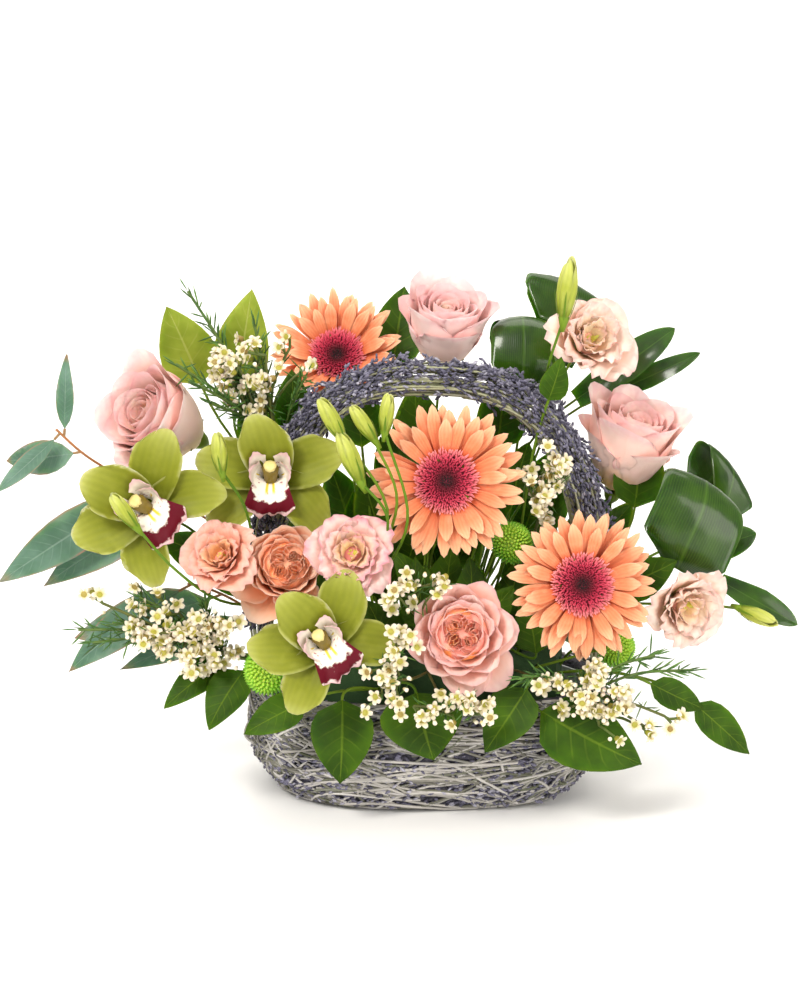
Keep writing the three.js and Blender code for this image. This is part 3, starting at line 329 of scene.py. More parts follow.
# %% The tree that bends a card on every point
def blade_group():
    """X and Z of a bent strip are the integrals of the cosine and sine of a pitch that grows evenly along it."""
    tree, given = geometry_tree("blades", Card="Object", Unit="Float", Seed="Float", Material="Material")

    def stored(label, kind="FLOAT_VECTOR"):
        return tree.add("GeometryNodeInputNamedAttribute", {"data_type": kind}, {"Name": label})

    card_info = tree.add("GeometryNodeObjectInfo", values={"Object": given["Card"]}, output="Geometry")
    copies = tree.add("GeometryNodeInstanceOnPoints", values={"Points": given["Geometry"], "Instance": card_info})
    made = tree.add("GeometryNodeRealizeInstances", values={0: copies})
    u, s, e = tree.parts(tree.add("GeometryNodeInputPosition"))
    length, width, thick = tree.parts(stored("size"))
    pitch, bend, roll = tree.parts(stored("shape"))
    curl, wave, twist = tree.parts(stored("rim"))
    half = stored("half", "FLOAT")
    phase = stored("order", "FLOAT") * 91 + given["Seed"]
    angle = pitch + bend * u
    radius = width * half * 0.5 / roll
    aside = radius * sin(roll * s)
    fine = stored("frill", "FLOAT") * sin(s * 12 + u * 4 + phase * 2) * u
    ruffle = wave * u * u * (sin(s * 5 + u * 9 + phase) * s.math("ABSOLUTE") + fine)
    tip = (u - 0.7).math("MAXIMUM", 0)
    edge = (s.math("ABSOLUTE") - 0.6).math("MAXIMUM", 0)
    lift = radius * (1 - cos(roll * s)) + ruffle - curl * length * (tip * tip * 3.5 + edge * edge * u * 2)
    up = lift + thick * e * 0.5
    ahead = length * (sin(angle) - sin(pitch)) / bend - up * sin(angle)
    rise = length * (cos(pitch) - cos(angle)) / bend + up * cos(angle)
    turn = twist * u
    axis, face = stored("ahead"), stored("face")
    across = tree.vector("CROSS_PRODUCT", face, axis)
    place = stored("root")
    for direction, amount in (
        (axis, ahead * cos(turn) - aside * sin(turn)),
        (across, ahead * sin(turn) + aside * cos(turn)),
        (face, rise),
    ):
        place = tree.vector("ADD", place, tree.vector("SCALE", direction, amount))
    place = tree.vector("SCALE", place, given["Unit"])
    made = tree.add("GeometryNodeSetPosition", values={"Geometry": made, "Position": place})
    close_tree(tree, made, given["Material"])
    return tree.tree


BLADES = blade_group()


# %% Beds of blades
def unit(vector):
    vector = np.array(vector, float)
    return vector / np.linalg.norm(vector)


class Bed:
    """The blades of one piece. A size is length, width and thickness. A shape is the pitch at the base, the pitch at
    the tip and the roll of the sides, in degrees. A rim is curl, wave and twist, the twist in degrees."""

    LABELS = ("root", "ahead", "face", "size", "shape", "rim", "order")
    LEAST_BEND, LEAST_ROLL = 0.01, 0.02  # radians, since the tree divides by both

    def __init__(self):
        self.rows = []

    def add(self, root, ahead, face, size, shape, rim=(0, 0, 0), order=0.5):
        ahead = unit(ahead)
        face = unit(np.array(face) - ahead * np.dot(face, ahead))
        pitch, tip, roll = (math.radians(angle) for angle in shape)
        bend = tip - pitch if abs(tip - pitch) > self.LEAST_BEND else self.LEAST_BEND
        shape = (pitch, bend, max(roll, self.LEAST_ROLL))
        curl, wave, twist = rim
        self.rows.append((root, ahead, face, size, shape, (curl, wave, math.radians(twist)), order))

    def grow(self, name, card, material, seed=0.0):
        mesh = plain_mesh(name + "_points", [(0, 0, 0)] * len(self.rows), [])
        add_columns(mesh, **{label: [row[k] for row in self.rows] for k, label in enumerate(self.LABELS)})
        return grow(name, mesh, BLADES, Card=card, Unit=MM, Seed=seed, Material=material)


class Place:
    """A flower's own frame: it looks along Z, with Y up and X to the right as its viewer sees it."""

    def __init__(self, at, look, roll=0, deep=0, **rest):
        z = unit(look)
        x = unit(np.cross(-z, (0, 0, 1)))
        y = np.cross(z, x)
        c, s = math.cos(math.radians(roll)), math.sin(math.radians(roll))
        self.axes = np.array([x * c + y * s, y * c - x * s, z])
        self.origin = np.array(at, float) - z * deep

    def turn(self, vector):
        return np.array(vector, float) @ self.axes

    def point(self, local):
        return self.origin + self.turn(local)


def petal(bed, place, azimuth, radius, height, size, shape, rim=(0, 0, 0), order=0.5):
    """One blade that leaves the flower's axis at an azimuth in degrees."""
    a = math.radians(azimuth)
    out = (math.cos(a), math.sin(a), 0)
    root = place.point((out[0] * radius, out[1] * radius, height))
    bed.add(root, place.turn(out), place.turn((0, 0, 1)), size, shape, rim, order)


# %% [markdown]
# ## Stems and stalks
#
# Everything that is long and round here follows a path: stems, the stalks wound into the basket, the bound
# handle. One tree turns a polyline with a stored thickness into a tube. The visible stems have to run where the
# solids' stems run, so their centre lines are measured from the solids: planes cut the mesh at even steps, and
# the crossings nearest the expected place are averaged.


# %% The tree that makes tubes
def tube_group():
    tree, given = geometry_tree("tubes", Sides="Int", Unit="Float", Material="Material")
    girth = tree.add("GeometryNodeInputNamedAttribute", {"data_type": "FLOAT"}, {"Name": "girth"})
    curve = tree.add("GeometryNodeMeshToCurve", values={"Mesh": given["Geometry"]})
    curve = tree.add("GeometryNodeSetCurveRadius", values={"Curve": curve, "Radius": girth})
    ring = tree.add("GeometryNodeCurvePrimitiveCircle", values={"Resolution": given["Sides"], "Radius": 1.0})
    values = {"Curve": curve, "Profile Curve": ring, "Fill Caps": True}
    made = tree.add("GeometryNodeCurveToMesh", values=values)
    values = {"Geometry": made, "Scale": tree.vector("SCALE", (1, 1, 1), given["Unit"])}
    made = tree.add("GeometryNodeTransform", values=values)
    close_tree(tree, made, given["Material"])
    return tree.tree


TUBES = tube_group()


def tubes(name, lines, material, sides=6):
    """Grows a tube on each line, given as its points, its radius or radii, and its order among its kind."""
    points, edges, girth, order = [], [], [], []
    for line, radius, rank in lines:
        start, count = len(points), len(line)
        points += [tuple(point) for point in line]
        edges += [(start + i, start + i + 1) for i in range(count - 1)]
        girth += list(np.broadcast_to(radius, count))
        order += [rank] * count
    mesh = bpy.data.meshes.new(name + "_lines")
    mesh.from_pydata(points, edges, [])
    add_columns(mesh, girth=girth, order=order)
    return grow(name, mesh, TUBES, Sides=sides, Unit=MM, Material=material)


# %% Paths
def lerp(a, b, t):
    return a + (b - a) * t


def smooth(knots, steps):
    """A smooth line through the knots."""
    knots = np.array(knots, float)
    knots = np.vstack([2 * knots[0] - knots[1], knots, 2 * knots[-1] - knots[-2]])
    line = []
    for t in np.linspace(0, len(knots) - 3, steps + 1):
        k = min(int(t), len(knots) - 4)
        f = t - k
        a, b, c, d = knots[k : k + 4]
        line.append(b + 0.5 * f * (c - a + f * (2 * a - 5 * b + 4 * c - d + f * (3 * (b - c) + d - a))))
    return np.array(line)


def bezier(a, b, c, d, steps):
    """A curve from a to d that leaves towards b and arrives from c."""
    t = np.linspace(0, 1, steps + 1)[:, None]
    return a * (1 - t) ** 3 + 3 * b * t * (1 - t) ** 2 + 3 * c * t**2 * (1 - t) + d * t**3


# %% Where stems leave the foam
FOAM = (96, 56, 106)  # half sizes and top of the block that the stems stand in
FLAT_TOP = 0.82  # the share of the block's reach that its flat top takes up
CUTS = 9  # even steps along a stem at which planes cut it


def rooted(root):
    """Moves a root to the foam's surface: in over its flat top, or out to its side."""
    x, y, z = root
    reach = ((abs(x) / FOAM[0]) ** 2.5 + (abs(y) / FOAM[1]) ** 2.5) ** 0.4
    if z >= FOAM[2]:
        return np.array([x * min(1, FLAT_TOP / reach), y * min(1, FLAT_TOP / reach), z])
    return np.array([x / reach, y / reach, z])


def leaving(root):
    """Which way a stem leaves the foam."""
    if root[2] >= FOAM[2]:
        return unit((root[0] / 160, root[1] / 160, 1))
    return unit((root[0] / FOAM[0], root[1] / FOAM[1] * 1.4, 0.35))


def centre_line(node, start, end, radius):
    """The line down the middle of a solid's stem between two points on it."""
    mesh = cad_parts[node].data
    places = np.empty(len(mesh.vertices) * 3)
    mesh.vertices.foreach_get("co", places)
    places = places.reshape(-1, 3) / MM
    ends = np.array([edge.vertices[:] for edge in mesh.edges])
    a, b = places[ends[:, 0]], places[ends[:, 1]]
    start, end = np.array(start, float), np.array(end, float)
    axis = unit(end - start)
    line = [start]
    for k in range(1, CUTS):
        level = start + (end - start) * k / CUTS
        from_a, from_b = (a - level) @ axis, (b - level) @ axis
        cut = from_a * from_b < 0
        share = (from_a[cut] / (from_a[cut] - from_b[cut]))[:, None]
        crossings = a[cut] + (b[cut] - a[cut]) * share
        guess = line[-1] + (line[-1] - line[-2]) if k > 1 else level
        ring = crossings[np.linalg.norm(crossings - guess, axis=1) < radius * 4]
        if len(ring) > 2:
            line.append((ring.min(axis=0) + ring.max(axis=0)) / 2)
        else:
            line.append(line[-1] + (end - line[-1]) / (CUTS - k + 1))
    return smooth([*line, end], CUTS * 3)


# %% [markdown]
# ## Finishes of living things
#
# A petal is never one colour: it has a base, a blade, a tip and an edge, fine grooves along it, and soft blotches.
# The finishes below read the blade's own coordinates for that, and a stored order from the innermost blade to
# the outermost, so that a rose's heart is warmer than its guard petals. A little subsurface lets light into them.


# %% A finish from what varies and what doesn't
FULL_TURN = 6.283
SHADE, LIGHT = (0.2, 0.2, 0.2, 1), (1, 1, 1, 1)


def finish(name, paint, **fixed):
    """A material from a function that paints what varies, and fixed values for the shader's other sockets."""
    material = bpy.data.materials.new(name)
    material.use_nodes = True
    tree = Tree(material.node_tree)
    fixed = {key.replace("_", " ").title().replace("Ior", "IOR"): value for key, value in fixed.items()}
    shader = tree.add("ShaderNodeBsdfPrincipled", values={**fixed, **paint(tree)})
    tree.add("ShaderNodeOutputMaterial", values={"Surface": shader})
    return material


# %% Petal finish
def petal_finish(name, base, body, tip, heart, edge=None, grooves=(12, 0.25), depth=0.5, groove=None):
    """Colours from base to tip, the heart's colour for the inner petals, and grooves as a count and a strength."""

    def paint(tree):
        u, v = tree.uv()
        order = tree.attribute("order")
        colour = tree.blend(tree.ease(u, 0.05, 0.55), rgb(base), rgb(body))
        colour = tree.blend(tree.ease(u, 0.55, 1.0), colour, rgb(tip))
        colour = tree.blend(tree.ease(1 - order, 0.35, 0.95), colour, rgb(heart))
        side = (v - 0.5).math("ABSOLUTE") * 2
        if edge:
            rim = tree.ease(side.math("MAXIMUM", u), 0.8, 1.0) * tree.ease(tree.noise(80, 2), 0.3, 0.55)
            colour = tree.blend(rim * 0.7, colour, rgb(edge))
        wander = tree.noise(60, 2) - 0.5
        lines = sin(v * (grooves[0] * FULL_TURN) + wander * 5) * 0.5 + 0.5
        colour = tree.blend(lines * grooves[1] * (1 - u * 0.5), colour, rgb(groove or base))
        cloud = tree.noise(110, 4)
        colour = tree.blend(tree.ease(cloud, 0.45, 0.75) * 0.3, colour, rgb(tip))
        normal = tree.bump(lines * 0.5 + tree.noise(900, 3) * 0.5, depth, 0.0003)
        return {"Base Color": colour, "Roughness": cloud * 0.2 + 0.45, "Normal": normal}

    return finish(
        name, paint, subsurface_weight=0.5, subsurface_radius=(1.0, 0.95, 0.95), subsurface_scale=0.0012,
        specular_ior_level=0.25
    )


# %% Leaf finish
def leaf_finish(name, dark, light, vein, veins=9, rough=0.4, stripes=0, tips=None, coat=0.0):
    """A leaf with a midrib and side veins that slant to its edge, or with fine stripes along it."""

    def paint(tree):
        u, v = tree.uv()
        side = (v - 0.5).math("ABSOLUTE") * 2
        colour = tree.blend(tree.ease(tree.noise(45, 3), 0.3, 0.75), rgb(dark), rgb(light))
        if stripes:
            ribs = sin(v * (stripes * FULL_TURN) + tree.noise(20, 1) * 4) * 0.5 + 0.5
            height = ribs * 0.25
            net = tree.ease(ribs, 0.7, 1.0) * tree.noise(60, 2) * 0.45
        else:
            ribs = sin((u * veins - side * 1.5 + tree.noise(40, 1) * 0.5) * FULL_TURN)
            net = tree.ease(ribs, 0.85, 1.0) * (1 - tree.ease(side, 0.4, 0.95)) * tree.noise(90, 2) * 0.32
            height = net * -1.2 + ribs * 0.12 - tree.noise(260, 3) * 0.5
        rib = 1 - tree.ease(side, 0.015, 0.06)
        colour = tree.blend(net, colour, rgb(vein))
        colour = tree.blend(rib * 0.45, colour, rgb(vein))
        if tips:
            rim = tree.ease(side.math("MAXIMUM", u), 0.86, 1.0) * tree.ease(tree.noise(70, 2), 0.35, 0.6)
            colour = tree.blend(rim * 0.7, colour, rgb(tips))
        fine = tree.noise(700, 2)
        normal = tree.bump(height - rib * 0.6 + fine * 0.15, 0.6, 0.0005)
        return {"Base Color": colour, "Roughness": fine * 0.15 + rough, "Normal": normal}

    return finish(
        name, paint, subsurface_weight=0.12, subsurface_radius=(0.4, 0.8, 0.2), subsurface_scale=0.003,
        coat_weight=coat, coat_roughness=0.16, specular_ior_level=0.16
    )


# %% Finishes of stems, buds and stalks
def ordered_finish(name, *tones, rough=0.6, grain=260, spread=0.25, **fixed):
    """Tones given to the members of a group by their order, with a grain that spreads them."""

    def paint(tree):
        places = np.linspace(0, 1, len(tones))
        stops = [(place, rgb(tone)) for place, tone in zip(places, tones)]
        colour = tree.add("ShaderNodeValToRGB", {"stops": stops}, {0: tree.attribute("order")})
        grains = tree.noise(grain, 3)
        colour = tree.blend(spread, colour, tree.blend(grains, SHADE, LIGHT), "OVERLAY")
        normal = tree.bump(grains, 0.5, 0.0003)
        return {"Base Color": colour, "Roughness": grains * 0.25 + rough - 0.1, "Normal": normal}

    return finish(name, paint, **fixed)


STEM = ordered_finish("green_stem", "6A8420", "486A10", rough=0.5, specular_ior_level=0.2)

# %% [markdown]
# ## The basket
#
# Dried lavender lies in bundles round an oval mould and is bound with long pale stalks that cross each other.
# A smooth wall with a texture would look like felt, so three layers are made: a dark rough wall, whose dark
# colour is partly the lavender's own and partly painted shade between the stalks, several thousand buds that lie
# on it, and several hundred stalks that wind round it, each a tube on its own path.

# %% The wall's shape
RIM_Z = 80
RIM = (126, 82)  # half sizes at the rim
BASE = (97, 58)  # half sizes at the base
WALL = 12  # thickness
FLOOR_TOP = 5
FULL_Z = 46  # height at which the wall stops leaning out


def oval(angle, x, y):
    """A point of an oval with squared ends."""
    c, s = np.cos(angle), np.sin(angle)
    return np.sign(c) * np.abs(c) ** 0.8 * x, np.sign(s) * np.abs(s) ** 0.8 * y


COURSES = np.array([0, *range(5, 72, 6), RIM_Z])
SWELL = np.array([0, *[1.4, -1.4] * 6, 0])


def course(angle, k):
    """How far course k of the wall leans out from the base towards the rim, and how far it swells."""
    z = COURSES[k]
    ripple = 1.1 * np.sin(7 * angle + z * 0.4) + 0.8 * np.sin(z * 0.9 - 5 * angle)
    return np.sin(np.clip(z, 0, FULL_Z) / FULL_Z * math.pi / 2) ** 0.75, SWELL[k] + ripple * (z > 0)


def wall_point(angle, z, out=0.0):
    """A point on the basket's outside, wound in courses that swell and sink, and so far out from it."""
    k = np.clip(np.searchsorted(COURSES, z, "right") - 1, 0, len(COURSES) - 2)
    f = np.clip((z - COURSES[k]) / (COURSES[k + 1] - COURSES[k]), 0, 1)
    (share, swell), (share_above, swell_above) = course(angle, k), course(angle, k + 1)
    share = share + (share_above - share) * f
    out = out + swell + (swell_above - swell) * f
    x, y = oval(angle, BASE[0] + (RIM[0] - BASE[0]) * share + out, BASE[1] + (RIM[1] - BASE[1]) * share + out)
    return np.stack([x, y, z + 0 * x], axis=-1)


# %% Skins over rings
def shell(name, rings, material):
    """A closed skin over rings of equal counts, capped at both ends."""
    count = len(rings[0])
    faces = [list(range(count))[::-1]]
    for i in range(len(rings) - 1):
        for j in range(count):
            k = (j + 1) % count
            faces.append((i * count + j, i * count + k, (i + 1) * count + k, (i + 1) * count + j))
    faces.append([(len(rings) - 1) * count + j for j in range(count)])
    return skin(name, [point * MM for ring in rings for point in ring], faces, material)


# %% Basket finishes
def thatch_and_shade(tree):
    """Dark bundles of lavender seen between the stalks, darkened further as painted shade in the gaps between them."""
    x, y, z = tree.parts(tree.add("ShaderNodeTexCoord", output="Object"))
    around = tree.add("ShaderNodeMath", {"operation": "ARCTAN2"}, {0: y, 1: x})
    flat = tree.add("ShaderNodeCombineXYZ", values={0: around * 0.12, 1: z * 3.0, 2: 0.0})
    strands, spots = tree.noise(130, 4, flat), tree.noise(300, 3)
    # Both strand colours are darker than the lavender's own, as painted shade between the stalks.
    colour = tree.blend(tree.ease(strands, 0.35, 0.7), rgb("26242E"), rgb("605E68"))
    colour = tree.blend(tree.ease(spots, 0.5, 0.7) * 0.6, colour, rgb("4C4A62"))
    return {"Base Color": colour, "Roughness": spots * 0.2 + 0.75, "Normal": tree.bump(strands + spots, 1.0, 0.002)}


THATCH_AND_SHADE = finish("lavender_thatch_and_shade", thatch_and_shade)
STALKS = ordered_finish("dried_stalks", "C8C4C0", "9A968E", "706E64", "5C6048", "B4B0AE", rough=0.75, grain=420)
LAVENDER = ordered_finish("lavender_buds", "403E4C", "5C5A6E", "7A788C", "4A4858", "B0AEBC", rough=0.85, grain=600)

# %% The wall, its rolled rim and its floor
INSETS = ((3, 78.5), (6, 80), (WALL - 2, 80), (WALL, 78), (WALL, FLOOR_TOP + 24), (WALL + 14, FLOOR_TOP))
sides = np.linspace(0, 2 * math.pi, 96, endpoint=False)
rings = [wall_point(sides, 0, -5.0), *(wall_point(sides, z, -2.0) for z in range(2, 77, 3))]
ripple = 0.8 * np.sin(sides * 17)
for inset, z in INSETS:
    rings.append(np.stack([*oval(sides, RIM[0] - inset + ripple, RIM[1] - inset + ripple), 0 * sides + z], -1))
dress(shell("basket_wall", rings, THATCH_AND_SHADE), "dried_stalks", "basket")

# %% Stalks wound round the wall
WOUND, LONG = 860, 100  # all stalks, and the last of them, which are long and pale
dice = random.Random(11)
winding = []
for i in range(WOUND):
    pale = i >= WOUND - LONG
    start = dice.uniform(0, 2 * math.pi)
    span = dice.uniform(0.5, 1.4) if pale else dice.uniform(0.15, 0.9)
    height = RIM_Z * dice.random() ** 0.9
    slope = dice.gauss(0, 7) * (3 if dice.random() < 0.4 else 1)
    t = np.linspace(0, 1, 24 if pale else 12)
    angle = start + span * t
    sway = lerp(0.5, 6.0, dice.random() ** 2) * np.sin(t * dice.uniform(3, 9) + dice.uniform(0, 6))
    z = np.clip(height + slope * (t - 0.5) * 2 + sway, 1.2, RIM_Z + 1.5)
    out = dice.uniform(-1.3, -0.1) + 0.5 * pale + 0.6 * np.sin(t * dice.uniform(4, 9) + i)
    radius = dice.uniform(0.18, 0.32) if pale else lerp(0.12, 0.34, dice.random() ** 2)
    winding.append((wall_point(angle, z, out), radius, dice.random() * (0.2 if pale else 1)))
dress(tubes("basket_stalks", winding, STALKS, sides=4), "dried_stalks")

# %% Buds between the stalks
LOOSE_BUDS = 7500
BUD = spindle_card("bud_card", [(0, 0), (0.25, 0.8), (0.65, 1), (1, 0)], sides=4)
heads = Bed()
for _ in range(LOOSE_BUDS):
    angle, z = dice.uniform(0, 2 * math.pi), RIM_Z * dice.uniform(0.05, 1.01)
    here, beside = wall_point(np.array([angle, angle + 0.02]), np.array([z, z]), dice.uniform(-1.9, -0.2))
    along = unit(beside - here) * dice.choice((-1, 1))
    out = np.cross(along, (0, 0, 1))
    out = out * np.sign(np.dot(out, here))
    ahead = along + out * dice.uniform(0.0, 0.25) + np.array([0, 0, dice.gauss(0, 0.5)])
    length = dice.uniform(3.2, 6.0)
    heads.add(here, ahead, out, (length, length * 0.4, length * 0.4), (0, 2, 2), order=dice.random())
dress(heads.grow("basket_buds", BUD, LAVENDER), "dried_stalks")

# %% [markdown]
# ## The handle
#
# The handle is a bundle of lavender bound along a wire arch: green stalks show on its inside, and grey violet
# heads stand out over its top and front. Its path is the solids' arch, drawn again from the same four numbers.

# %% The arch
ARCH_HALF, ARCH_TOP, ARCH_POWER, ARCH_MIDDLE = 119.5, 293, 2.7, 1.5
FOOT_DROP, FOOT_SHARE = 30, 0.05  # millimetres down into the wall for each such share beyond the arch's ends
SLIM_Z, SLIM_HIGH = 75, 75  # the bar is slim up to this height, and has its full girth this much higher


def arch(share):
    """A point on the handle's centre line, from its left foot to its right one."""
    angle = math.pi * np.clip(share, 0, 1)
    c, s = np.cos(angle), np.sin(angle)
    x = ARCH_MIDDLE - ARCH_HALF * np.sign(c) * np.abs(c) ** (2 / ARCH_POWER)
    drop = FOOT_DROP * np.abs(share - np.clip(share, 0, 1)) / FOOT_SHARE
    z = RIM_Z + (ARCH_TOP - RIM_Z) * np.abs(s) ** (2 / ARCH_POWER) - drop
    return np.stack([x, 0 * x, z], axis=-1)


def bar_point(share, turn, depth=1.0):
    """A point in the handle's bar: turn 0 is its outside, 90 degrees its back, and depth 1 its surface."""
    here, ahead = arch(share), arch(share + 0.004)
    along = (ahead - here) / np.linalg.norm(ahead - here, axis=-1, keepdims=True)
    out = np.stack([-along[..., 2], 0 * along[..., 0], along[..., 0]], -1)
    thick = np.clip((here[..., 2] - SLIM_Z) / SLIM_HIGH, 0, 1)
    thick = thick * thick * (3 - 2 * thick)
    deep, wide = (3.2 + 8.3 * thick) * depth, (8 + 6 * thick) * depth
    place = here + out * (deep * np.cos(turn))[..., None]
    place[..., 1] += wide * np.sin(turn)
    normal = out * np.cos(turn)[..., None]
    normal[..., 1] += np.sin(turn)
    return place, along, normal


# %% Stalks bound along the arch
DRAWN_STALKS = 90
HANDLE_STALKS = ordered_finish("handle_stalks", "B9B79A", "8F9468", "A7A58E", "6F7352", rough=0.7, grain=500)
lines = []
for i in range(DRAWN_STALKS):
    t = np.linspace(max(-0.04, dice.uniform(-0.3, 0.75)), min(1.04, dice.uniform(0.3, 1.3)), 40)
    if t[-1] - t[0] < 0.15:  # too short to bind
        continue
    inside = dice.gauss(math.pi, 1.1) if dice.random() < 0.6 else dice.uniform(0, 2 * math.pi)
    turn = inside + dice.gauss(0, 0.5) * np.sin(t * 9 + i)
    place, _, _ = bar_point(t, turn, dice.uniform(0.55, 1.05))
    lines.append((place, dice.uniform(0.5, 0.9), dice.random()))
dress(tubes("handle_stalks", lines, HANDLE_STALKS, sides=4), "lavender", "handle")

# %% Lavender heads on the handle
HEADS, SPRIGS, HEADS_PER_SPRIG = 5600, 130, 7
heads = Bed()
for _ in range(HEADS):
    share = np.array(dice.uniform(0.03, 0.97))
    turn = np.array(dice.gauss(-0.5, 1.35))
    place, along, normal = bar_point(share, turn, dice.uniform(0.62, 1.0))
    way = along * dice.choice((-1, 1))
    ahead = way + normal * dice.uniform(0.05, 0.9) + np.array([dice.gauss(0, 0.3) for _ in range(3)])
    length = dice.uniform(3.5, 6.5)
    heads.add(place, ahead, normal, (length, length * 0.36, length * 0.36), (0, 3, 2), order=dice.random())
for _ in range(SPRIGS):
    share, turn = np.array(dice.uniform(0.1, 0.9)), np.array(dice.gauss(-0.4, 1.1))
    place, along, normal = bar_point(share, turn, 0.95)
    way = unit(along * dice.choice((-1, 1)) + normal * dice.uniform(0.35, 0.8))
    for k in range(HEADS_PER_SPRIG):
        lean = way + np.array([dice.gauss(0, 0.4) for _ in range(3)])
        heads.add(place + way * (2 + 1.7 * k), lean, normal, (4.5, 2.2, 2.2), (0, 3, 2), order=dice.random())
dress(heads.grow("handle_heads", BUD, LAVENDER), "lavender")

# %% [markdown]
# ## Gerberas
#
# A gerbera's face is two or three rounds of strap petals with toothed tips, lying nearly flat, round a disc of
# hundreds of florets. The disc follows the sunflower spiral, where each floret stands a golden angle on from the
# last, and its colour runs from a dark eye through pink, which is what a painted disc would miss at the rim.

# %% Small helpers for flowers
GOLDEN = math.radians(137.508)
LATHE_SIDES = 16


def table(keys, *rows):
    """Rows as dictionaries, so that a table names its columns once."""
    return [dict(zip(keys.split(), row)) for row in rows]


def stand(bed, root, ahead, length, width, order):
    """A round body that points ahead. Any face will do, so the one least along it is taken."""
    ahead = unit(ahead)
    face = np.eye(3)[np.argmin(np.abs(ahead))]
    bed.add(root, ahead, face, (length, width, width), (0, 2, 2), order=order)


def lathe(name, place, profile, material, size=1):
    """A round closed body in a flower's frame, from pairs of radius and height, as shares of a size if one is given."""
    turns = np.linspace(0, 2 * math.pi, LATHE_SIDES, endpoint=False)
    flat = np.stack([np.cos(turns), np.sin(turns)], -1)
    rings = [place.point(np.column_stack([flat * (size * r), np.full(LATHE_SIDES, size * z)])) for r, z in profile]
    return shell(name, rings, material)


def merge(*pieces):
    """Joins pieces into the first one, which keeps its name."""
    with bpy.context.temp_override(
        active_object=pieces[0], object=pieces[0], selected_objects=pieces, selected_editable_objects=pieces
    ):
        bpy.ops.object.join()
    return pieces[0]


# %% Gerbera places, card and finishes
gerberas = table(
    "name at look root size deep cup",
    ("gerbera_front", (12, -62, 233), (0.02, -0.97, 0.24), (10, -14, 106), 54, 9, 8),
    ("gerbera_right", (103, -80, 166), (0.1, -0.96, 0.26), (62, -30, 106), 52, 9, 10),
    ("gerbera_back", (-64, 50, 303), (0, -0.83, 0.56), (-32, 22, 106), 51, 12, 30),
)
STRAP = card(
    "strap_card", lambda u: min(1, 0.5 + 0.8 * u) * (1 - 0.34 * u**6), along=8, across=6, notch=0.02, blunt=0.15
)
GERBERA = petal_finish("gerbera_petal", "C8481E", "E28A5E", "F6B890", "CC5C30", grooves=(4, 0.3), groove="C65C34")
FLORET = ordered_finish(
    "gerbera_floret", "140408", "24080C", "7A1428", "B82848", "CC3C58", "DC6070", "F09A98", rough=0.6, spread=0.15
)
DISC = ordered_finish("gerbera_disc", "7E1A30", rough=0.7)

# %% Gerbera petals and discs
# Each round, from the outside in: its count, where it starts, its height, its reach and its lean
ROUNDS = [(19, 0.30, 4.4, 0.72, 4), (19, 0.29, 6.0, 0.68, 8), (15, 0.28, 7.6, 0.54, 13)]
FLORETS, DISC_RADIUS = 1100, 0.35
petals, florets, hubs, discs = Bed(), Bed(), [], []
for f in gerberas:
    place, size, cup = Place(**f), f["size"], f["cup"]
    for layer, (count, start, height, reach, lean) in enumerate(ROUNDS):
        for k in range(count):
            azimuth = (k + 0.5 * layer + dice.uniform(-0.25, 0.25)) * 360 / count
            long = size * (reach + dice.uniform(-0.06, 0.02))
            shape = (cup + lean + dice.uniform(-3, 4), cup + lean - 10 + dice.uniform(-10, 8), dice.uniform(14, 36))
            rim = (0.05, 0.6, dice.uniform(-5, 5))
            order = 1.0 if f["name"] == "gerbera_back" else 0.45 + 0.2 * dice.random()
            wide = size * dice.uniform(0.16, 0.205)
            petal(petals, place, azimuth, size * start, height, (long, wide, 0.9), shape, rim, order)
    for i in range(FLORETS):
        share = math.sqrt((i + 0.5) / FLORETS)
        a, r = i * GOLDEN + dice.uniform(-0.1, 0.1), size * DISC_RADIUS * share
        root = place.point((r * math.cos(a), r * math.sin(a), 9.5 + 2.4 * share - 3 * share**6))
        tilt = share**2 * 1.3 + dice.uniform(-0.3, 0.3)
        lean = place.turn((math.cos(a) * tilt, math.sin(a) * tilt, 1))
        long = lerp(1.8, 5.4, share) * dice.uniform(0.75, 1.25)
        stand(florets, root, lean, long, 1.1, share)
    hubs.append(lathe("hub", place, [(3, 0), (size * 0.2, 1), (size * 0.37, 4), (size * 0.34, 9)], GERBERA))
    discs.append(lathe("disc", place, [(size * 0.3, 9.2), (size * 0.33, 10), (size * 0.2, 11), (1, 10.4)], DISC))
petals = merge(petals.grow("gerbera_petals", STRAP, GERBERA), *hubs)
dress(petals, "gerbera_petal", *(f["name"] + "_petals" for f in gerberas))
florets = merge(florets.grow("gerbera_florets", BUD, FLORET), *discs)
dress(florets, "gerbera_floret", *(f["name"] + "_disc" for f in gerberas))

# %% [markdown]
# ## Roses
#
# A rose is a spiral too. Its innermost petals stand and wrap each other, the outer ones lean away and roll their
# edges back, and each is larger than the one before. The garden roses are open cups with crowded short petals
# inside and a few pale guard petals spread below.

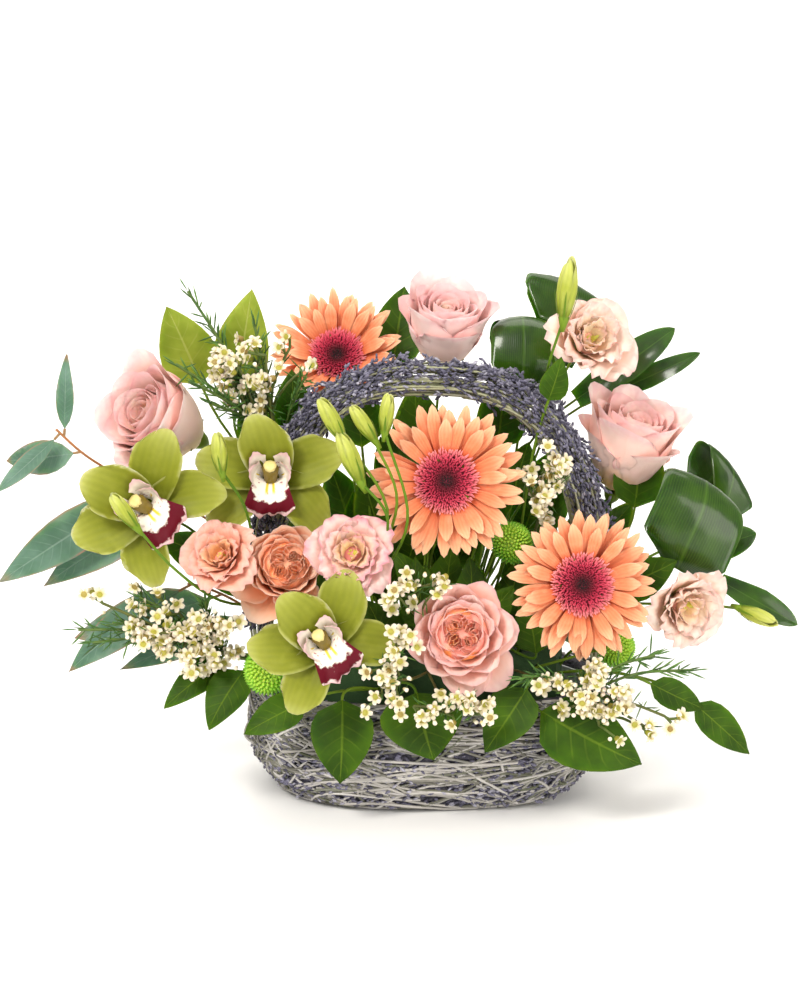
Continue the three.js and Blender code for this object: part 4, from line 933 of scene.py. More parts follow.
# %% Rose places, cards and finishes
closed_roses = table(
    "name at look root size deep stretch",
    ("rose_left", (-181, 8, 259), (-0.62, -0.6, 0.45), (-62, 34, 106), 45, 28, 1.25),
    ("rose_back", (13, 52, 317), (0.1, -0.42, 0.9), (4, 36, 106), 38, 27, 1.35),
    ("rose_right", (142, 30, 234), (0.26, -0.28, 0.92), (74, 26, 106), 43, 30, 1.4),
)
garden_roses = table(
    "name at look root size deep guard spread",
    ("rose_front", (22, -108, 140), (0.05, -0.95, 0.3), (16, -56, 94), 32, 28, -50, 26),
    ("rose_peach", (-95, -76, 180), (0.1, -0.9, 0.4), (-54, -34, 106), 30, 28, -125, 8),
)
ROSE_TONES = {  # the finish, and its base, body, tip, heart and edge
    "rose_left": ("rose_pink", "FAD096", "FACCC0", "FCDCD4", "FCDAB8", "F2A0A8"),
    "rose_back": ("rose_pale", "F6BEA6", "FACEC8", "FCDEDA", "FADEC8", "F0A0A8"),
    "rose_right": ("rose_cream", "F2C07A", "F8CABE", "FADAD0", "FADAC0", "F0A0A8"),
    "rose_front": ("rose_garden", "F6B478", "F6BEAE", "F8CEC4", "FCB068", "F0A8AC"),
    "rose_peach": ("rose_peach", "F8B074", "FAB08C", "FAC2A6", "FEA66C", "F8C6AC"),
}
ROSE_FINISHES = {flower: petal_finish(*tones, grooves=(9, 0.05)) for flower, tones in ROSE_TONES.items()}
ROSE = card("rose_card", lambda u: min(1, 0.35 + 1.1 * u) * (1 - 0.15 * u**5), along=9, across=10, blunt=0.2, frill=0.3)
SEPAL = card("sepal_card", lambda u: math.sin(math.pi * (0.15 + 0.85 * u)) ** 0.8, along=5, across=2)

# %% How roses open
CLOSED_PETALS, LOOSE_PETALS = 28, 3
FOLDS, FOLDS_BACK, UPRIGHT, GUARDS, GUARD_TURN = 32, 8, 26, 7, 137.5


def closed_rose(bed, place, size, stretch):
    """Upright petals that wrap a tight heart, the outer ones with their edges rolled back."""
    for k in range(CLOSED_PETALS):
        t = k / (CLOSED_PETALS - 1)
        long = size * lerp(0.92, 1.18, t) * stretch**0.8
        wide = size * lerp(0.45, 2.0, t**0.7)
        pitch = lerp(90, 46, t**1.3) + dice.uniform(-3, 3)
        tip = lerp(92, 102, t) + dice.uniform(-4, 4)
        shape = (pitch, tip, lerp(130, 84, t))
        rim = (lerp(0.0, 0.6, t**2.2), lerp(0.5, 1.6, t), dice.uniform(-8, 8))
        azimuth = math.degrees(k * GOLDEN)
        petal(bed, place, azimuth, size * lerp(0.05, 0.3, t**0.8), size * 0.12, (long, wide, 0.5), shape, rim, t)
    for k in range(LOOSE_PETALS):
        shape, rim = (42, 98 - 8 * (k % 2), 80), (0.7, 2.2, 0)
        petal(bed, place, 125 * k + 20, size * 0.26, size * 0.1, (size * 1.2, size * 1.9, 0.5), shape, rim, 1.0)


def garden_rose(bed, place, size, guard, spread):
    """Folds that nest in four quarters of the heart, rounds of upright petals, and guards spread to one side."""
    for k in range(FOLDS):
        t = (k // FOLDS_BACK) / (FOLDS // FOLDS_BACK - 1)
        a = math.radians(guard + 90 * (k % 4) + dice.uniform(-8, 8))
        out, across = np.array((math.cos(a), math.sin(a), 0)), np.array((-math.sin(a), math.cos(a), 0))
        if k // 4 % 2:
            across = -across
        root = place.point(out * size * 0.21 + across * size * lerp(0.025, 0.2, t) + (0, 0, size * 0.1))
        sizes = (size * (lerp(0.96, 0.88, t) + dice.uniform(-0.04, 0.04)), size * lerp(0.34, 0.62, t), 0.6)
        shape = (lerp(90, 84, t), lerp(92, 96, t) + dice.uniform(-4, 4), lerp(70, 52, t))
        rim = (lerp(0.04, 0.14, t), 1.2, dice.uniform(-8, 8))
        bed.add(root, place.turn(across), place.turn((0, 0, 1)), sizes, shape, rim, t * 0.4)
    for k in range(UPRIGHT):
        t = k / (UPRIGHT - 1)
        sizes = (size * lerp(0.94, 0.98, t), size * lerp(0.9, 1.35, t), 0.45)
        shape = (lerp(76, 50 - spread, t), lerp(92, 84 - spread, t) + dice.uniform(-5, 5), lerp(84, 62, t))
        rim = (lerp(0.08, 0.25, t), 1.6, dice.uniform(-8, 8))
        azimuth = math.degrees(k * GOLDEN)
        petal(bed, place, azimuth, size * lerp(0.3, 0.4, t), size * 0.1, sizes, shape, rim, lerp(0.6, 0.9, t))
    for k in range(GUARDS):
        azimuth = guard + GUARD_TURN * k
        near_guard = max(0, math.cos(math.radians(azimuth - guard)))
        sizes = (size * (1.0 + 0.3 * near_guard), size * 1.25, 0.5)
        shape = (lerp(50, 12, near_guard), lerp(80, 22, near_guard), 50)
        petal(bed, place, azimuth, size * 0.16, size * 0.06, sizes, shape, (0.35, 2.2, 0), 1.0)


# %% Roses on their hearts
CUP_HEART = [(0.1, 0.2), (0.5, 0.45), (0.56, 0.72), (0.44, 0.84), (0.1, 0.86)]
BUD_HEART = [(0.1, 0.2), (0.2, 0.6), (0.1, 0.9)]
roses = closed_roses + garden_roses
for n, f in enumerate(roses):
    name, size, place, bed = f["name"], f["size"], Place(**f), Bed()
    tone = ROSE_FINISHES[name]
    if f in garden_roses:
        heart = lathe("heart", place, CUP_HEART, tone, size)
        garden_rose(bed, place, size, f["guard"], f["spread"])
    else:
        heart = lathe("heart", place, BUD_HEART, tone, size)
        closed_rose(bed, place, size, f["stretch"])
    rose = merge(bed.grow(name + "_petals", ROSE, tone, seed=n), heart)
    dress(rose, "peach_rose_petal" if name == "rose_peach" else "rose_petal", name)

# %% [markdown]
# ## Lisianthus
#
# Its petals are thin and ruffled like cloth, so the same card gets a strong wave along its rim. Inside sits a
# green yellow pistil among short stamens. The closed buds are petals that twist round each other, and they hang
# on long stalks above the flowers, which are built with the stems further down.

# %% Lisianthus places, card and finishes
lisianthuses = table(
    "name at look root size deep open",
    ("lisianthus_top", (113, 10, 319), (0.35, -0.8, 0.48), (50, 34, 106), 32, 20, 0.5),
    ("lisianthus_right", (177, -52, 144), (0.4, -0.88, -0.2), (96, -8, 90), 30, 20, 0.45),
    ("lisianthus_left", (-140, -76, 186), (-0.3, -0.78, 0.55), (-72, -34, 106), 26, 19, 0.6),
    ("lisianthus_front", (-51, -95, 192), (-0.05, -0.9, 0.4), (-26, -40, 106), 28, 21, 0.65),
)
CREAM = petal_finish("lisianthus_cream", "E6D290", "F6D0BC", "FAE2D6", "F4D6B2", "F0A49C", grooves=(8, 0.04))
PEACH = petal_finish("lisianthus_peach", "CC9C50", "EEAA90", "F4BEAE", "E6A878", "F09890", grooves=(8, 0.04))
BLUSH = petal_finish("lisianthus_blush", "DCC874", "F2C4BA", "F4CCC6", "ECCCA0", "DC5C84", grooves=(8, 0.04))
PISTIL = ordered_finish("pistil", "C8C850", "E0C860", "E8D890", rough=0.6)
RUFFLE = card(
    "ruffle_card", lambda u: min(1, 0.3 + 1.2 * u) * (1 - 0.2 * u**6), along=9, across=14, blunt=0.2, frill=0.44
)

# %% Lisianthus flowers
RUFFLES, STAMENS = 19, 9
THROAT = [(0.08, 0.15), (0.3, 0.46), (0.31, 0.58), (0.1, 0.6)]
stamens = Bed()
for n, f in enumerate(lisianthuses):
    name, size, place, bed = f["name"], f["size"], Place(**f), Bed()
    for k in range(RUFFLES):
        t = k / (RUFFLES - 1)
        shape = (lerp(84, 42, t), lerp(78, 60 - f["open"] * 60, t) + dice.uniform(-10, 10), lerp(70, 40, t))
        rim = (lerp(0.1, 0.3, t), size * lerp(0.06, 0.18, t), dice.uniform(-14, 14))
        sizes = (size * lerp(0.85, 1.2, t), size * lerp(0.6, 1.4, t), 0.5)
        petal(bed, place, math.degrees(k * GOLDEN), size * lerp(0.06, 0.14, t), size * 0.12, sizes, shape, rim, t)
    tone = {"lisianthus_front": BLUSH, "lisianthus_left": PEACH}.get(name, CREAM)
    throat = lathe("throat", place, THROAT, tone, size)
    root = place.point((0, 0, size * 0.3))
    for k in range(STAMENS):
        a = k * GOLDEN
        lean = place.turn((math.cos(a) * 0.25, math.sin(a) * 0.25, 1))
        long, wide = (0.42, 2.0) if k else (0.55, 4.0)  # the first one is the pistil
        stand(stamens, root, lean, size * long, wide, k / STAMENS)
    petals = bed.grow(name + "_petals", RUFFLE, tone, seed=7 + n)
    dress(merge(petals, throat), "lisianthus_petal", name)
dress(stamens.grow("lisianthus_stamens", BUD, PISTIL), "lisianthus_petal")

# %% [markdown]
# ## Green orchids
#
# A cymbidium has five waxy tepals with fine veins, the upper one bowed over the column. Its lip is the part that
# is looked at: pale, with lobes that stand up at its sides, a frilled front banded dark red, and two yellow keels.

# %% Orchid places, cards and finishes
orchids = table(
    "name at look root size deep roll",
    ("orchid_left", (-191, -60, 215), (-0.12, -0.95, 0.2), (-78, -18, 106), 57, 14, 54),
    ("orchid_middle", (-107, -44, 233), (0, -0.95, 0.3), (-50, -12, 106), 55, 14, 0),
    ("orchid_low", (-69, -120, 137), (0, -0.95, 0.28), (-44, -56, 96), 53, 14, 36),
)
TEPAL = card(
    "tepal_card", lambda u: math.sin(math.pi * (0.15 + 0.6 * u)) ** 0.8, along=10, across=8, blunt=0.26, frill=0.18
)
LIP = card("lip_card", lambda u: min(1, 0.5 + 0.7 * u) * (1 - 0.15 * u**6), along=10, across=14, blunt=0.34, frill=0.35)
# The tepals darken from tip to base. The dark base is painted shade where they meet round the column.
ORCHID = petal_finish(
    "orchid_tepal", "545C04", "80861A", "9A9E3C", "6E7012", "B0B262", grooves=(8, 0.2), groove="5E6408"
)
NUB = spindle_card("nub_card", [(0, 0), (0.05, 0.7), (0.6, 0.9), (0.88, 1), (0.97, 0.6), (1, 0)], sides=8)
COLUMN = ordered_finish("orchid_column", "6E5C14", "94803A", "DCCC84", rough=0.4, spread=0.45)


def lip_paint(tree):
    u, v = tree.uv()
    side = (v - 0.5).math("ABSOLUTE") * 2
    reach = (side * side * 0.22 + u * u * 0.85).math("SQRT") + (tree.noise(190, 3) - 0.5) * 0.34
    band = tree.ease(reach, 0.5, 0.56) * (1 - tree.ease(reach, 0.78, 0.85) * 0.9)
    band = band * (tree.ease(tree.attribute("order"), 0.25, 0.5) * 0.95 + 0.05)
    colour = tree.blend(band, tree.blend(tree.ease(u, 0.6, 1.0), rgb("F6EEE0"), rgb("F0C8CC")), rgb("5E0018"))
    dots = tree.ease(tree.noise(420, 1), 0.64, 0.72) * (1 - tree.ease(u, 0.3, 0.6))
    colour = tree.blend(dots * 0.8, colour, rgb("9A2848"))
    keel = (1 - tree.ease((side - 0.16).math("ABSOLUTE"), 0.03, 0.1)) * (1 - tree.ease(u, 0.34, 0.46))
    colour = tree.blend(keel, colour, rgb("E4C840"))
    return {"Base Color": colour, "Roughness": band * 0.1 + 0.4, "Normal": tree.bump(reach + keel, 0.5, 0.0006)}


LIP_FINISH = finish("orchid_lip", lip_paint, specular_ior_level=0.2)

# %% Orchids
# Each tepal: its azimuth, its length and width, its pitch at the base and at the tip, and its roll
TEPALS = [(90, 0.9, 0.72, 58, 22, 52), (22, 0.95, 0.66, 28, 2, 38), (158, 0.95, 0.66, 28, 2, 38),
          (-30, 0.95, 0.6, 22, -6, 40), (-150, 0.95, 0.6, 22, -6, 40)]
# Each pair of lobes at the lip's sides: its azimuth from straight up, its length and width, its shape and its order
LOBES = [(52, 0.44, 0.34, (34, 84, 60), 0.25), (92, 0.36, 0.4, (46, 84, 50), 0.32)]
tepals, lips, columns = Bed(), Bed(), Bed()
for f in orchids:
    place, size = Place(**f), f["size"]
    for azimuth, long, wide, pitch, tip, roll in TEPALS:
        shape = (pitch, tip - 12 + dice.uniform(-6, 6), roll * 0.9)
        rim = (0.1, dice.uniform(3.0, 6.0), dice.uniform(-18, 18))
        petal(tepals, place, azimuth, size * 0.05, size * 0.06, (size * long, size * wide * 1.04, 1.1), shape, rim, 0.7)
    z = size * 0.14
    petal(lips, place, -90, size * 0.04, z + 1.5, (size * 0.56, size * 0.74, 0.9), (58, -66, 50), (0.15, 4.0, 0))
    for sign in (1, -1):
        for azimuth, long, wide, shape, order in LOBES:
            sizes = (size * long, size * wide, 0.8)
            petal(lips, place, 90 - sign * azimuth, size * 0.1, z, sizes, shape, (0.1, 1.6, sign * 20), order)
    stand(columns, place.point((0, size * -0.06, z + 3)), place.turn((0, 0.85, 0.55)), size * 0.22, size * 0.22, 0.0)
    stand(columns, place.point((0, size * 0.05, z + 8)), place.turn((0, 0.6, 0.8)), size * 0.14, size * 0.17, 1.0)
dress(tepals.grow("orchid_tepals", TEPAL, ORCHID), "orchid_tepal", *(f["name"] for f in orchids))
dress(lips.grow("orchid_lips", LIP, LIP_FINISH), "orchid_lip", *(f["name"] + "_lip" for f in orchids))
dress(columns.grow("orchid_columns", NUB, COLUMN), "orchid_lip")

# %% [markdown]
# ## Button mums
#
# A green button mum is a ball of hundreds of short florets packed round one middle. Points spread over a ball by
# the golden angle have even gaps, so one small floret on each point makes the head, with no seam and no pole.

# %% Button mums
QUILLS = 190
mums = table(
    "name at look root size deep",
    ("mum_middle", (58, -56, 192), (0.1, -0.85, 0.5), (34, -36, 106), 16, 14),
    ("mum_left", (-112, -86, 106), (-0.3, -0.92, 0.1), (-78, -56, 94), 18, 16),
    ("mum_right", (131, -66, 118), (0.3, -0.9, 0.2), (84, -52, 96), 15, 13),
)
MUM = ordered_finish(
    "mum_floret", "B4DC48", "9CD038", "74B828", "5CA020", rough=0.5, spread=0.15,
    subsurface_weight=0.15, subsurface_scale=0.002
)
quills, cores = Bed(), []
for f in mums:
    place, size = Place(**f), f["size"]
    profile = [(1, 0), (size * 0.5, 2), (size * 0.72, size * 0.4), (size * 0.5, size * 0.72), (1, size * 0.84)]
    cores.append(lathe("core", place, profile, MUM))
    for i in range(QUILLS):
        up = 1 - 1.15 * (i + 0.5) / QUILLS
        flat, a = math.sqrt(max(0, 1 - up * up)), i * GOLDEN
        way = np.array([flat * math.cos(a), flat * math.sin(a), up])
        root = place.point(way * size * 0.6 + np.array([0, 0, size * 0.22]))
        ahead = place.turn(way + [0, 0, 0.25 * (1 - up)])
        stand(quills, root, ahead, size * lerp(0.3, 0.42, i / QUILLS), size * 0.14, i / QUILLS)
dress(merge(quills.grow("mum_heads", BUD, MUM), *cores), "mum_floret", *(f["name"] for f in mums))

# %% [markdown]
# ## Flower stems, calyxes and buds
#
# Every stem follows the line measured from its solid, from the foam to the flower's base, with a calyx of
# pointed sepals below each flower. The buds of the lisianthus branch from these stems.

# %% Buds of the lisianthus
# Each bud: where on the stem its stalk leaves, what the stalk passes, the bud's foot, its tip and its girth
BUDS = {
    "lisianthus_top": [(0.72, [(82, -12, 300)], (92, -24, 338), (96, -24, 380), 8.5)],
    "lisianthus_right": [(0.7, [(196, -12, 134)], (216, -36, 138), (240, -54, 132), 6.5)],
    "lisianthus_left": [(0.74, [(-122, -64, 212)], (-137, -78, 243), (-140, -80, 271), 6.5),
                        (0.5, [(-138, -64, 150), (-168, -88, 178)], (-194, -88, 208), (-211, -88, 231), 7)],
    "lisianthus_front": [(0.6, [(-27, -92, 212)], (-45, -86, 238), (-60, -86, 273), 8),
                         (0.6, [(-27, -86, 216), (-46, -80, 252)], (-57, -82, 266), (-72, -84, 293), 7),
                         (0.68, [(-21, -82, 222)], (-36, -76, 264), (-52, -76, 288), 6.5),
                         (0.56, [(-14, -90, 212)], (-29, -78, 270), (-26, -78, 296), 6.5)],
}
BUD_FINISH = petal_finish("bud_petal", "74841E", "A6AE40", "C6CA6C", "A2A83C", "BCC262", grooves=(4, 0.3))
BUD_STALK = 1.3
stems, sepals, buds, cups = [], Bed(), Bed(), []


def add_bud(line, share, via, foot, tip, girth):
    """A bud of twisted petals in a calyx, on a stalk that leaves a stem's line at a share of it."""
    stems.append((smooth([line[int(share * (len(line) - 1))], *via, foot], 14), BUD_STALK, dice.random()))
    closed = Place(foot, np.subtract(tip, foot), deep=girth * 0.4)
    long = np.linalg.norm(np.subtract(tip, foot)) + girth * 0.4
    profile = [(1.2, -girth * 0.7), (girth * 0.34, 0), (girth * 0.44, girth * 0.4), (girth * 0.3, girth)]
    cups.append(lathe("cup", closed, profile, STEM))
    for k in range(5):
        sizes, shape = (long * dice.uniform(0.94, 1.06), girth * 1.6, 0.6), (62, 114, 75)
        petal(buds, closed, 72 * k, girth * 0.16, 0, sizes, shape, (-0.05, 0.6, 85), 1 - k * 0.1)
        petal(sepals, closed, 72 * k + 30, girth * 0.34, girth * 0.1, (long * 0.5, 1.5, 0.5), (68, 84, 20))


# %% Stems and calyxes
for f in gerberas + roses + lisianthuses + orchids + mums:
    name, size, place = f["name"], f["size"], Place(**f)
    whole = f in orchids + mums  # the solid of the flower is one with its stem
    radius = 2.6 if f in gerberas + roses else 1.9
    foot = rooted(f["root"]) - leaving(rooted(f["root"])) * 2
    end = place.point((0, 0, 1 if whole else -1))
    line = centre_line(name if whole else name + "_stem", foot, end, radius)
    stems.append((line, np.linspace(radius, radius * 0.85, len(line)), dice.random()))
    cup = {"gerbera": 7, "rose": size * 0.17, "lisianthus": size * 0.13}.get(name.split("_")[0], 2.6)
    profile = [(radius * 0.8, -cup * 1.5), (cup * 0.7, -cup * 0.9), (cup, -0.3), (cup * 0.8, 1)]
    cups.append(lathe("cup", place, profile, STEM))
    for k in range(0 if whole else 5):
        sizes = (cup * 2.8, cup * 1.1, 0.7)
        petal(sepals, place, 72 * k + 36, cup * 0.7, -1.5, sizes, (62, 34, 24), (0.1, 0.3, 0), 0.5)
    for bud in BUDS.get(name, []):
        add_bud(line, *bud)
stems = merge(tubes("flower_stems", stems, STEM, sides=8), *cups)
dress(stems, "flower_stem", *(f["name"] + "_stem" for f in gerberas + roses + lisianthuses))
dress(sepals.grow("sepals", SEPAL, STEM), "flower_stem")
dress(buds.grow("lisianthus_buds", RUFFLE, BUD_FINISH), "lisianthus_petal")

# %% [markdown]
# ## Waxflower
#
# Waxflower fills the gaps with twigs that fork and fork again, and each fork ends in a few flowers of five round
# petals round a green yellow cup. A cloud is written as a middle and its reach, and the twigs, flowers and
# needles inside it are drawn by chance from a fixed seed.

# %% Waxflower places, card and finishes
# Each cloud: its middle, its reach and its number of twigs. The tips are those of twigs with needles alone
sprays = table(
    "name root clouds tips",
    ("waxflower_upper_left", (-66, 8, 106), [((-118, -4, 290), (34, 12, 30), 15)],
     [(-166, 14, 352), (-172, -20, 306), (-120, 8, 330), (-150, 0, 330), (-148, -16, 278), (-136, 10, 300),
      (-84, -8, 296), (-156, -24, 292), (-112, -20, 262)]),
    ("waxflower_left", (-96, -18, 96), [((-164, -68, 124), (54, 12, 26), 30)],
     [(-238, -62, 130), (-196, -60, 152), (-228, -66, 122), (-214, -66, 136), (-150, -76, 154)]),
    ("waxflower_middle", (48, -12, 106), [((84, -44, 218), (18, 10, 34), 10)], []),
    ("waxflower_right", (66, -56, 98), [((114, -110, 98), (42, 8, 24), 18)],
     [(176, -98, 112), (62, -114, 112), (150, -104, 124)]),
    ("waxflower_front", (0, -56, 99),
     [((18, -128, 94), (28, 6, 13), 8), ((-26, -130, 118), (15, 6, 26), 8), ((-10, -106, 168), (20, 5, 8), 6)], []),
)
WAX = petal_finish("waxflower_petal", "C8BC74", "E8DCBC", "F0E8D4", "DCCCA8", "E6C8BC", grooves=(3, 0.06), depth=0.2)
CUP = ordered_finish("waxflower_cup", "8C8C2C", "A8A03C", "8A6E3A", rough=0.5)
TWIG = ordered_finish("waxflower_twig", "6A5A2C", "5C6A2E", "4E6E2A", rough=0.6)
NEEDLE = ordered_finish("waxflower_needle", "2C4E18", "3E6822", "5A8030", rough=0.5)
ROUND = card("round_card", lambda u: math.sin(math.pi * (0.1 + 0.82 * u)) ** 0.6, along=4, across=4)

# %% How waxflower grows
MAIN_STEPS, FIRST_FORK, TIP_FORK = 20, 12, 14
BUDS_PER_TWIG, NEEDLES_PER_TWIG, NEEDLES_ALONE = 2, 7, 30
flowers, closed, cups, needles, twigs = Bed(), Bed(), Bed(), Bed(), []


def scatter(spread):
    """A random step within a spread, denser in the middle."""
    return np.array([dice.gauss(0, 0.45) * reach for reach in spread]).clip(-np.array(spread), spread)


def wax_flower(spot, face, fork):
    """Five petals round a cup, on a stalk from a fork."""
    place = Place(spot, face, roll=dice.uniform(0, 72))
    wide = dice.uniform(4.0, 5.0)
    for k in range(5):
        petal(flowers, place, 72 * k, 1.5, 0, (wide, wide * 0.92, 0.4), (40, 10, 44), order=0.9)
    stand(cups, place.point((0, 0, -3.4)), place.turn((0, 0, 1)), 4.2, 5.2, dice.random())
    middle = (fork + place.point((0, 0, -9))) / 2 + scatter((1, 1, 1))
    twigs.append((smooth([fork, middle, place.point((0, 0, -3))], 4), 0.45, 0.6))


def wax_cloud(foot, out, middle, spread, count):
    """A main twig from the foam, and a cloud of forks from it with flowers, buds and needles."""
    middle = np.array(middle, float)
    front = unit(np.array([*unit((middle[0], middle[1], 0))[:2] * 0.5, 0]) + (0, np.sign(middle[1]), 0.35))
    top = middle - front * 7 + (0, 0, spread[2] * 0.3)
    span = np.linalg.norm(top - foot)
    into = unit(front * 0.5 + (0, 0, 1))
    main = bezier(foot - out * 2, foot + out * span * 0.35, top - into * span * 0.35, top, MAIN_STEPS)
    twigs.append((main, np.linspace(1.5, 0.8, MAIN_STEPS + 1), 0.1))
    for _ in range(count):
        centre = middle + scatter(spread) * 1.1
        fork = main[int(lerp(FIRST_FORK, MAIN_STEPS, dice.random()))]
        twig = smooth([fork, lerp(fork, centre, 0.5) + scatter((3, 3, 3)), centre - front * 9], 6)
        twigs.append((twig, 0.6, 0.4))
        for _ in range(dice.choice((2, 2, 3, 4))):
            spot = centre + scatter((12, 6, 12))
            wax_flower(spot, front * 1.2 + scatter((1.2, 0.8, 1.2)), twig[-1])
        for _ in range(BUDS_PER_TWIG):
            spot = centre + scatter((10, 5, 10)) + front * 2
            stand(closed, spot, front + scatter((1, 1, 1)), 4.2, 3.0, 0.9)
        for _ in range(NEEDLES_PER_TWIG):
            spot = twig[dice.randrange(2, 7)]
            way = front * 0.4 + scatter((1.4, 0.6, 1.4)) + (0, 0, 0.4)
            stand(needles, spot, way, dice.uniform(8, 15), 1.0, dice.random())
    return main


def needle_twig(main, tip):
    """A twig that carries needles alone, from the main twig to its tip."""
    fork = main[TIP_FORK]
    twig = smooth([fork, lerp(fork, np.array(tip), 0.5) + (0, 0, 6), tip], 16)
    twigs.append((twig, np.linspace(0.8, 0.4, 17), 0.8))
    for k in range(NEEDLES_ALONE):
        spot = twig[4 + k * 12 // NEEDLES_ALONE]
        way = unit(twig[-1] - twig[8]) + scatter((1.2, 1.2, 1.2))
        stand(needles, spot, way, dice.uniform(10, 18), 1.3, dice.random())
    stand(needles, twig[-1], twig[-1] - twig[-2], 12, 1.1, 0.5)


# %% Waxflower
for spray in sprays:
    foot = rooted(spray["root"])
    mains = [wax_cloud(foot, leaving(foot), *cloud) for cloud in spray["clouds"]]
    for tip in spray["tips"]:
        needle_twig(mains[0], tip)
dress(flowers.grow("waxflower_petals", ROUND, WAX), "waxflower", *(spray["name"] for spray in sprays))
dress(cups.grow("waxflower_cups", NUB, CUP), "waxflower")
dress(closed.grow("waxflower_buds", NUB, WAX), "waxflower")
dress(needles.grow("waxflower_needles", BUD, NEEDLE), "waxflower")
dress(tubes("waxflower_twigs", twigs, TWIG, sides=4), "waxflower")

# %% [markdown]
# ## Leaves
#
# Broad leathery leaves hang over the rim, narrow grey green ones reach to the left, and strap leaves are folded
# into loops behind the flowers on the right. The straps are too long for a bent card, so they follow a path.

# %% Broad leaf places, cards and finishes
# Each leaf: where it starts, where its tip is, its width, and the way that it faces
leafy = table(
    "node root leaves",
    ("lemon_leaf_front_left", (-34, -56, 86), [
        ((-58, -88, 88), (-56, -101, 32), 44, (0, -1, 0.1)), ((-84, -86, 86), (-124, -98, 66), 27, (-0.3, -1, 0.5)),
        ((-8, -88, 93), (0, -104, 50), 58, (0, -1, 0.4))]),
    ("lemon_leaf_front_right", (50, -56, 84), [
        ((66, -88, 96), (40, -108, 56), 36, (-0.2, -1, 0.4)), ((76, -88, 80), (142, -100, 40), 50, (0.1, -1, 0.3))]),
    ("lemon_leaf_low_left", (-96, -40, 88), [
        ((-126, -58, 100), (-150, -78, 64), 32, (-0.4, -1, 0.4)),
        ((-140, -44, 104), (-180, -66, 74), 26, (-0.3, -1, 0.6))]),
    ("lemon_leaf_upper_left", (-44, 44, 106), [
        ((-160, 34, 284), (-181, 36, 340), 42, (0.1, -1, 0.1)),
        ((-136, 36, 278), (-120, 40, 350), 42, (-0.1, -1, 0.2))]),
    ("lemon_leaf_top", (-16, 46, 106), [
        ((-24, 66, 290), (-17, 87, 349), 40, (0, -1, 0.2)), ((-2, 56, 226), (-14, 44, 282), 42, (0, -1, 0.1))]),
    ("lemon_leaf_back_left", (-50, 56, 90), [
        ((-60, 88, 110), (-72, 118, 60), 46, (0, 1, 0.3)), ((-92, 74, 128), (-150, 96, 150), 42, (-0.2, 0.8, 0.6)),
        ((-52, 84, 150), (-66, 104, 214), 44, (0, 1, -0.2))]),
    ("lemon_leaf_back_right", (44, 56, 90), [
        ((30, 90, 106), (22, 118, 54), 46, (0, 1, 0.3)), ((18, 84, 150), (10, 104, 216), 44, (0, 1, -0.2)),
        ((96, 66, 100), (146, 86, 64), 40, (0.3, 0.8, 0.6)), ((66, 80, 160), (92, 98, 222), 42, (0.2, 1, -0.1))]),
    ("ruscus_right", (96, -34, 90), [
        ((152, -62, 92), (192, -56, 68), 22, (0, -1, 0.5)), ((184, -50, 74), (226, -46, 34), 25, (0.1, -1, 0.4))]),
)
LEMON = leaf_finish("lemon_leaf", "264000", "3C5C02", "6C861E", veins=7, rough=0.5)
PALE = leaf_finish("pale_leaf", "6C7A18", "8E9A34", "ACAE60", veins=7, rough=0.5)


def leaf_outline(belly, fullness):
    """A leaf's outline. A smaller belly puts its widest place nearer the base."""
    return lambda u: math.sin(math.pi * u**belly) ** fullness if 0 < u < 1 else 0


OVATE = card("ovate_card", leaf_outline(0.66, 0.85), along=12, across=6)
LANCE = card("lance_card", leaf_outline(0.8, 0.9), along=12, across=4)

# %% Broad leaves and their stalks
STALK_RISE, STALK_STEP = 5, 2.6  # how far above the foam a leaf's own stalk starts, and each next one lower


def stalk(root, leaf_base, ahead, index):
    """The stalk from the foam to a leaf's base, which it reaches going ahead."""
    foot = rooted(root)
    out = leaving(foot)
    start = foot + out * max(0.5, STALK_RISE - STALK_STEP * index)
    leaf_base = np.array(leaf_base, float)
    span = np.linalg.norm(leaf_base - start)
    return bezier(start, start + out * span * 0.35, leaf_base - unit(ahead) * span * 0.35, leaf_base, 14)


broad, pale, stalks = Bed(), Bed(), []
for group in leafy:
    for index, (start, to, width, face) in enumerate(group["leaves"]):
        ahead = np.subtract(to, start)
        bed = pale if group["node"] == "lemon_leaf_upper_left" else broad
        shape = (10 + dice.uniform(-3, 3), -14 + dice.uniform(-6, 4), 24)
        sizes = (np.linalg.norm(ahead), width, 0.7)
        bed.add(start, ahead, face, sizes, shape, (0.05, dice.uniform(0.6, 1.6), dice.uniform(-6, 6)), dice.random())
        stalks.append((stalk(group["root"], start, ahead, index), 1.2, dice.random()))
dress(broad.grow("broad_leaves", OVATE, LEMON), "lemon_leaf", *(g["node"] for g in leafy))
dress(pale.grow("pale_leaves", OVATE, PALE), "lemon_leaf")
dress(tubes("leaf_stalks", stalks, STEM, sides=6), "lemon_leaf")
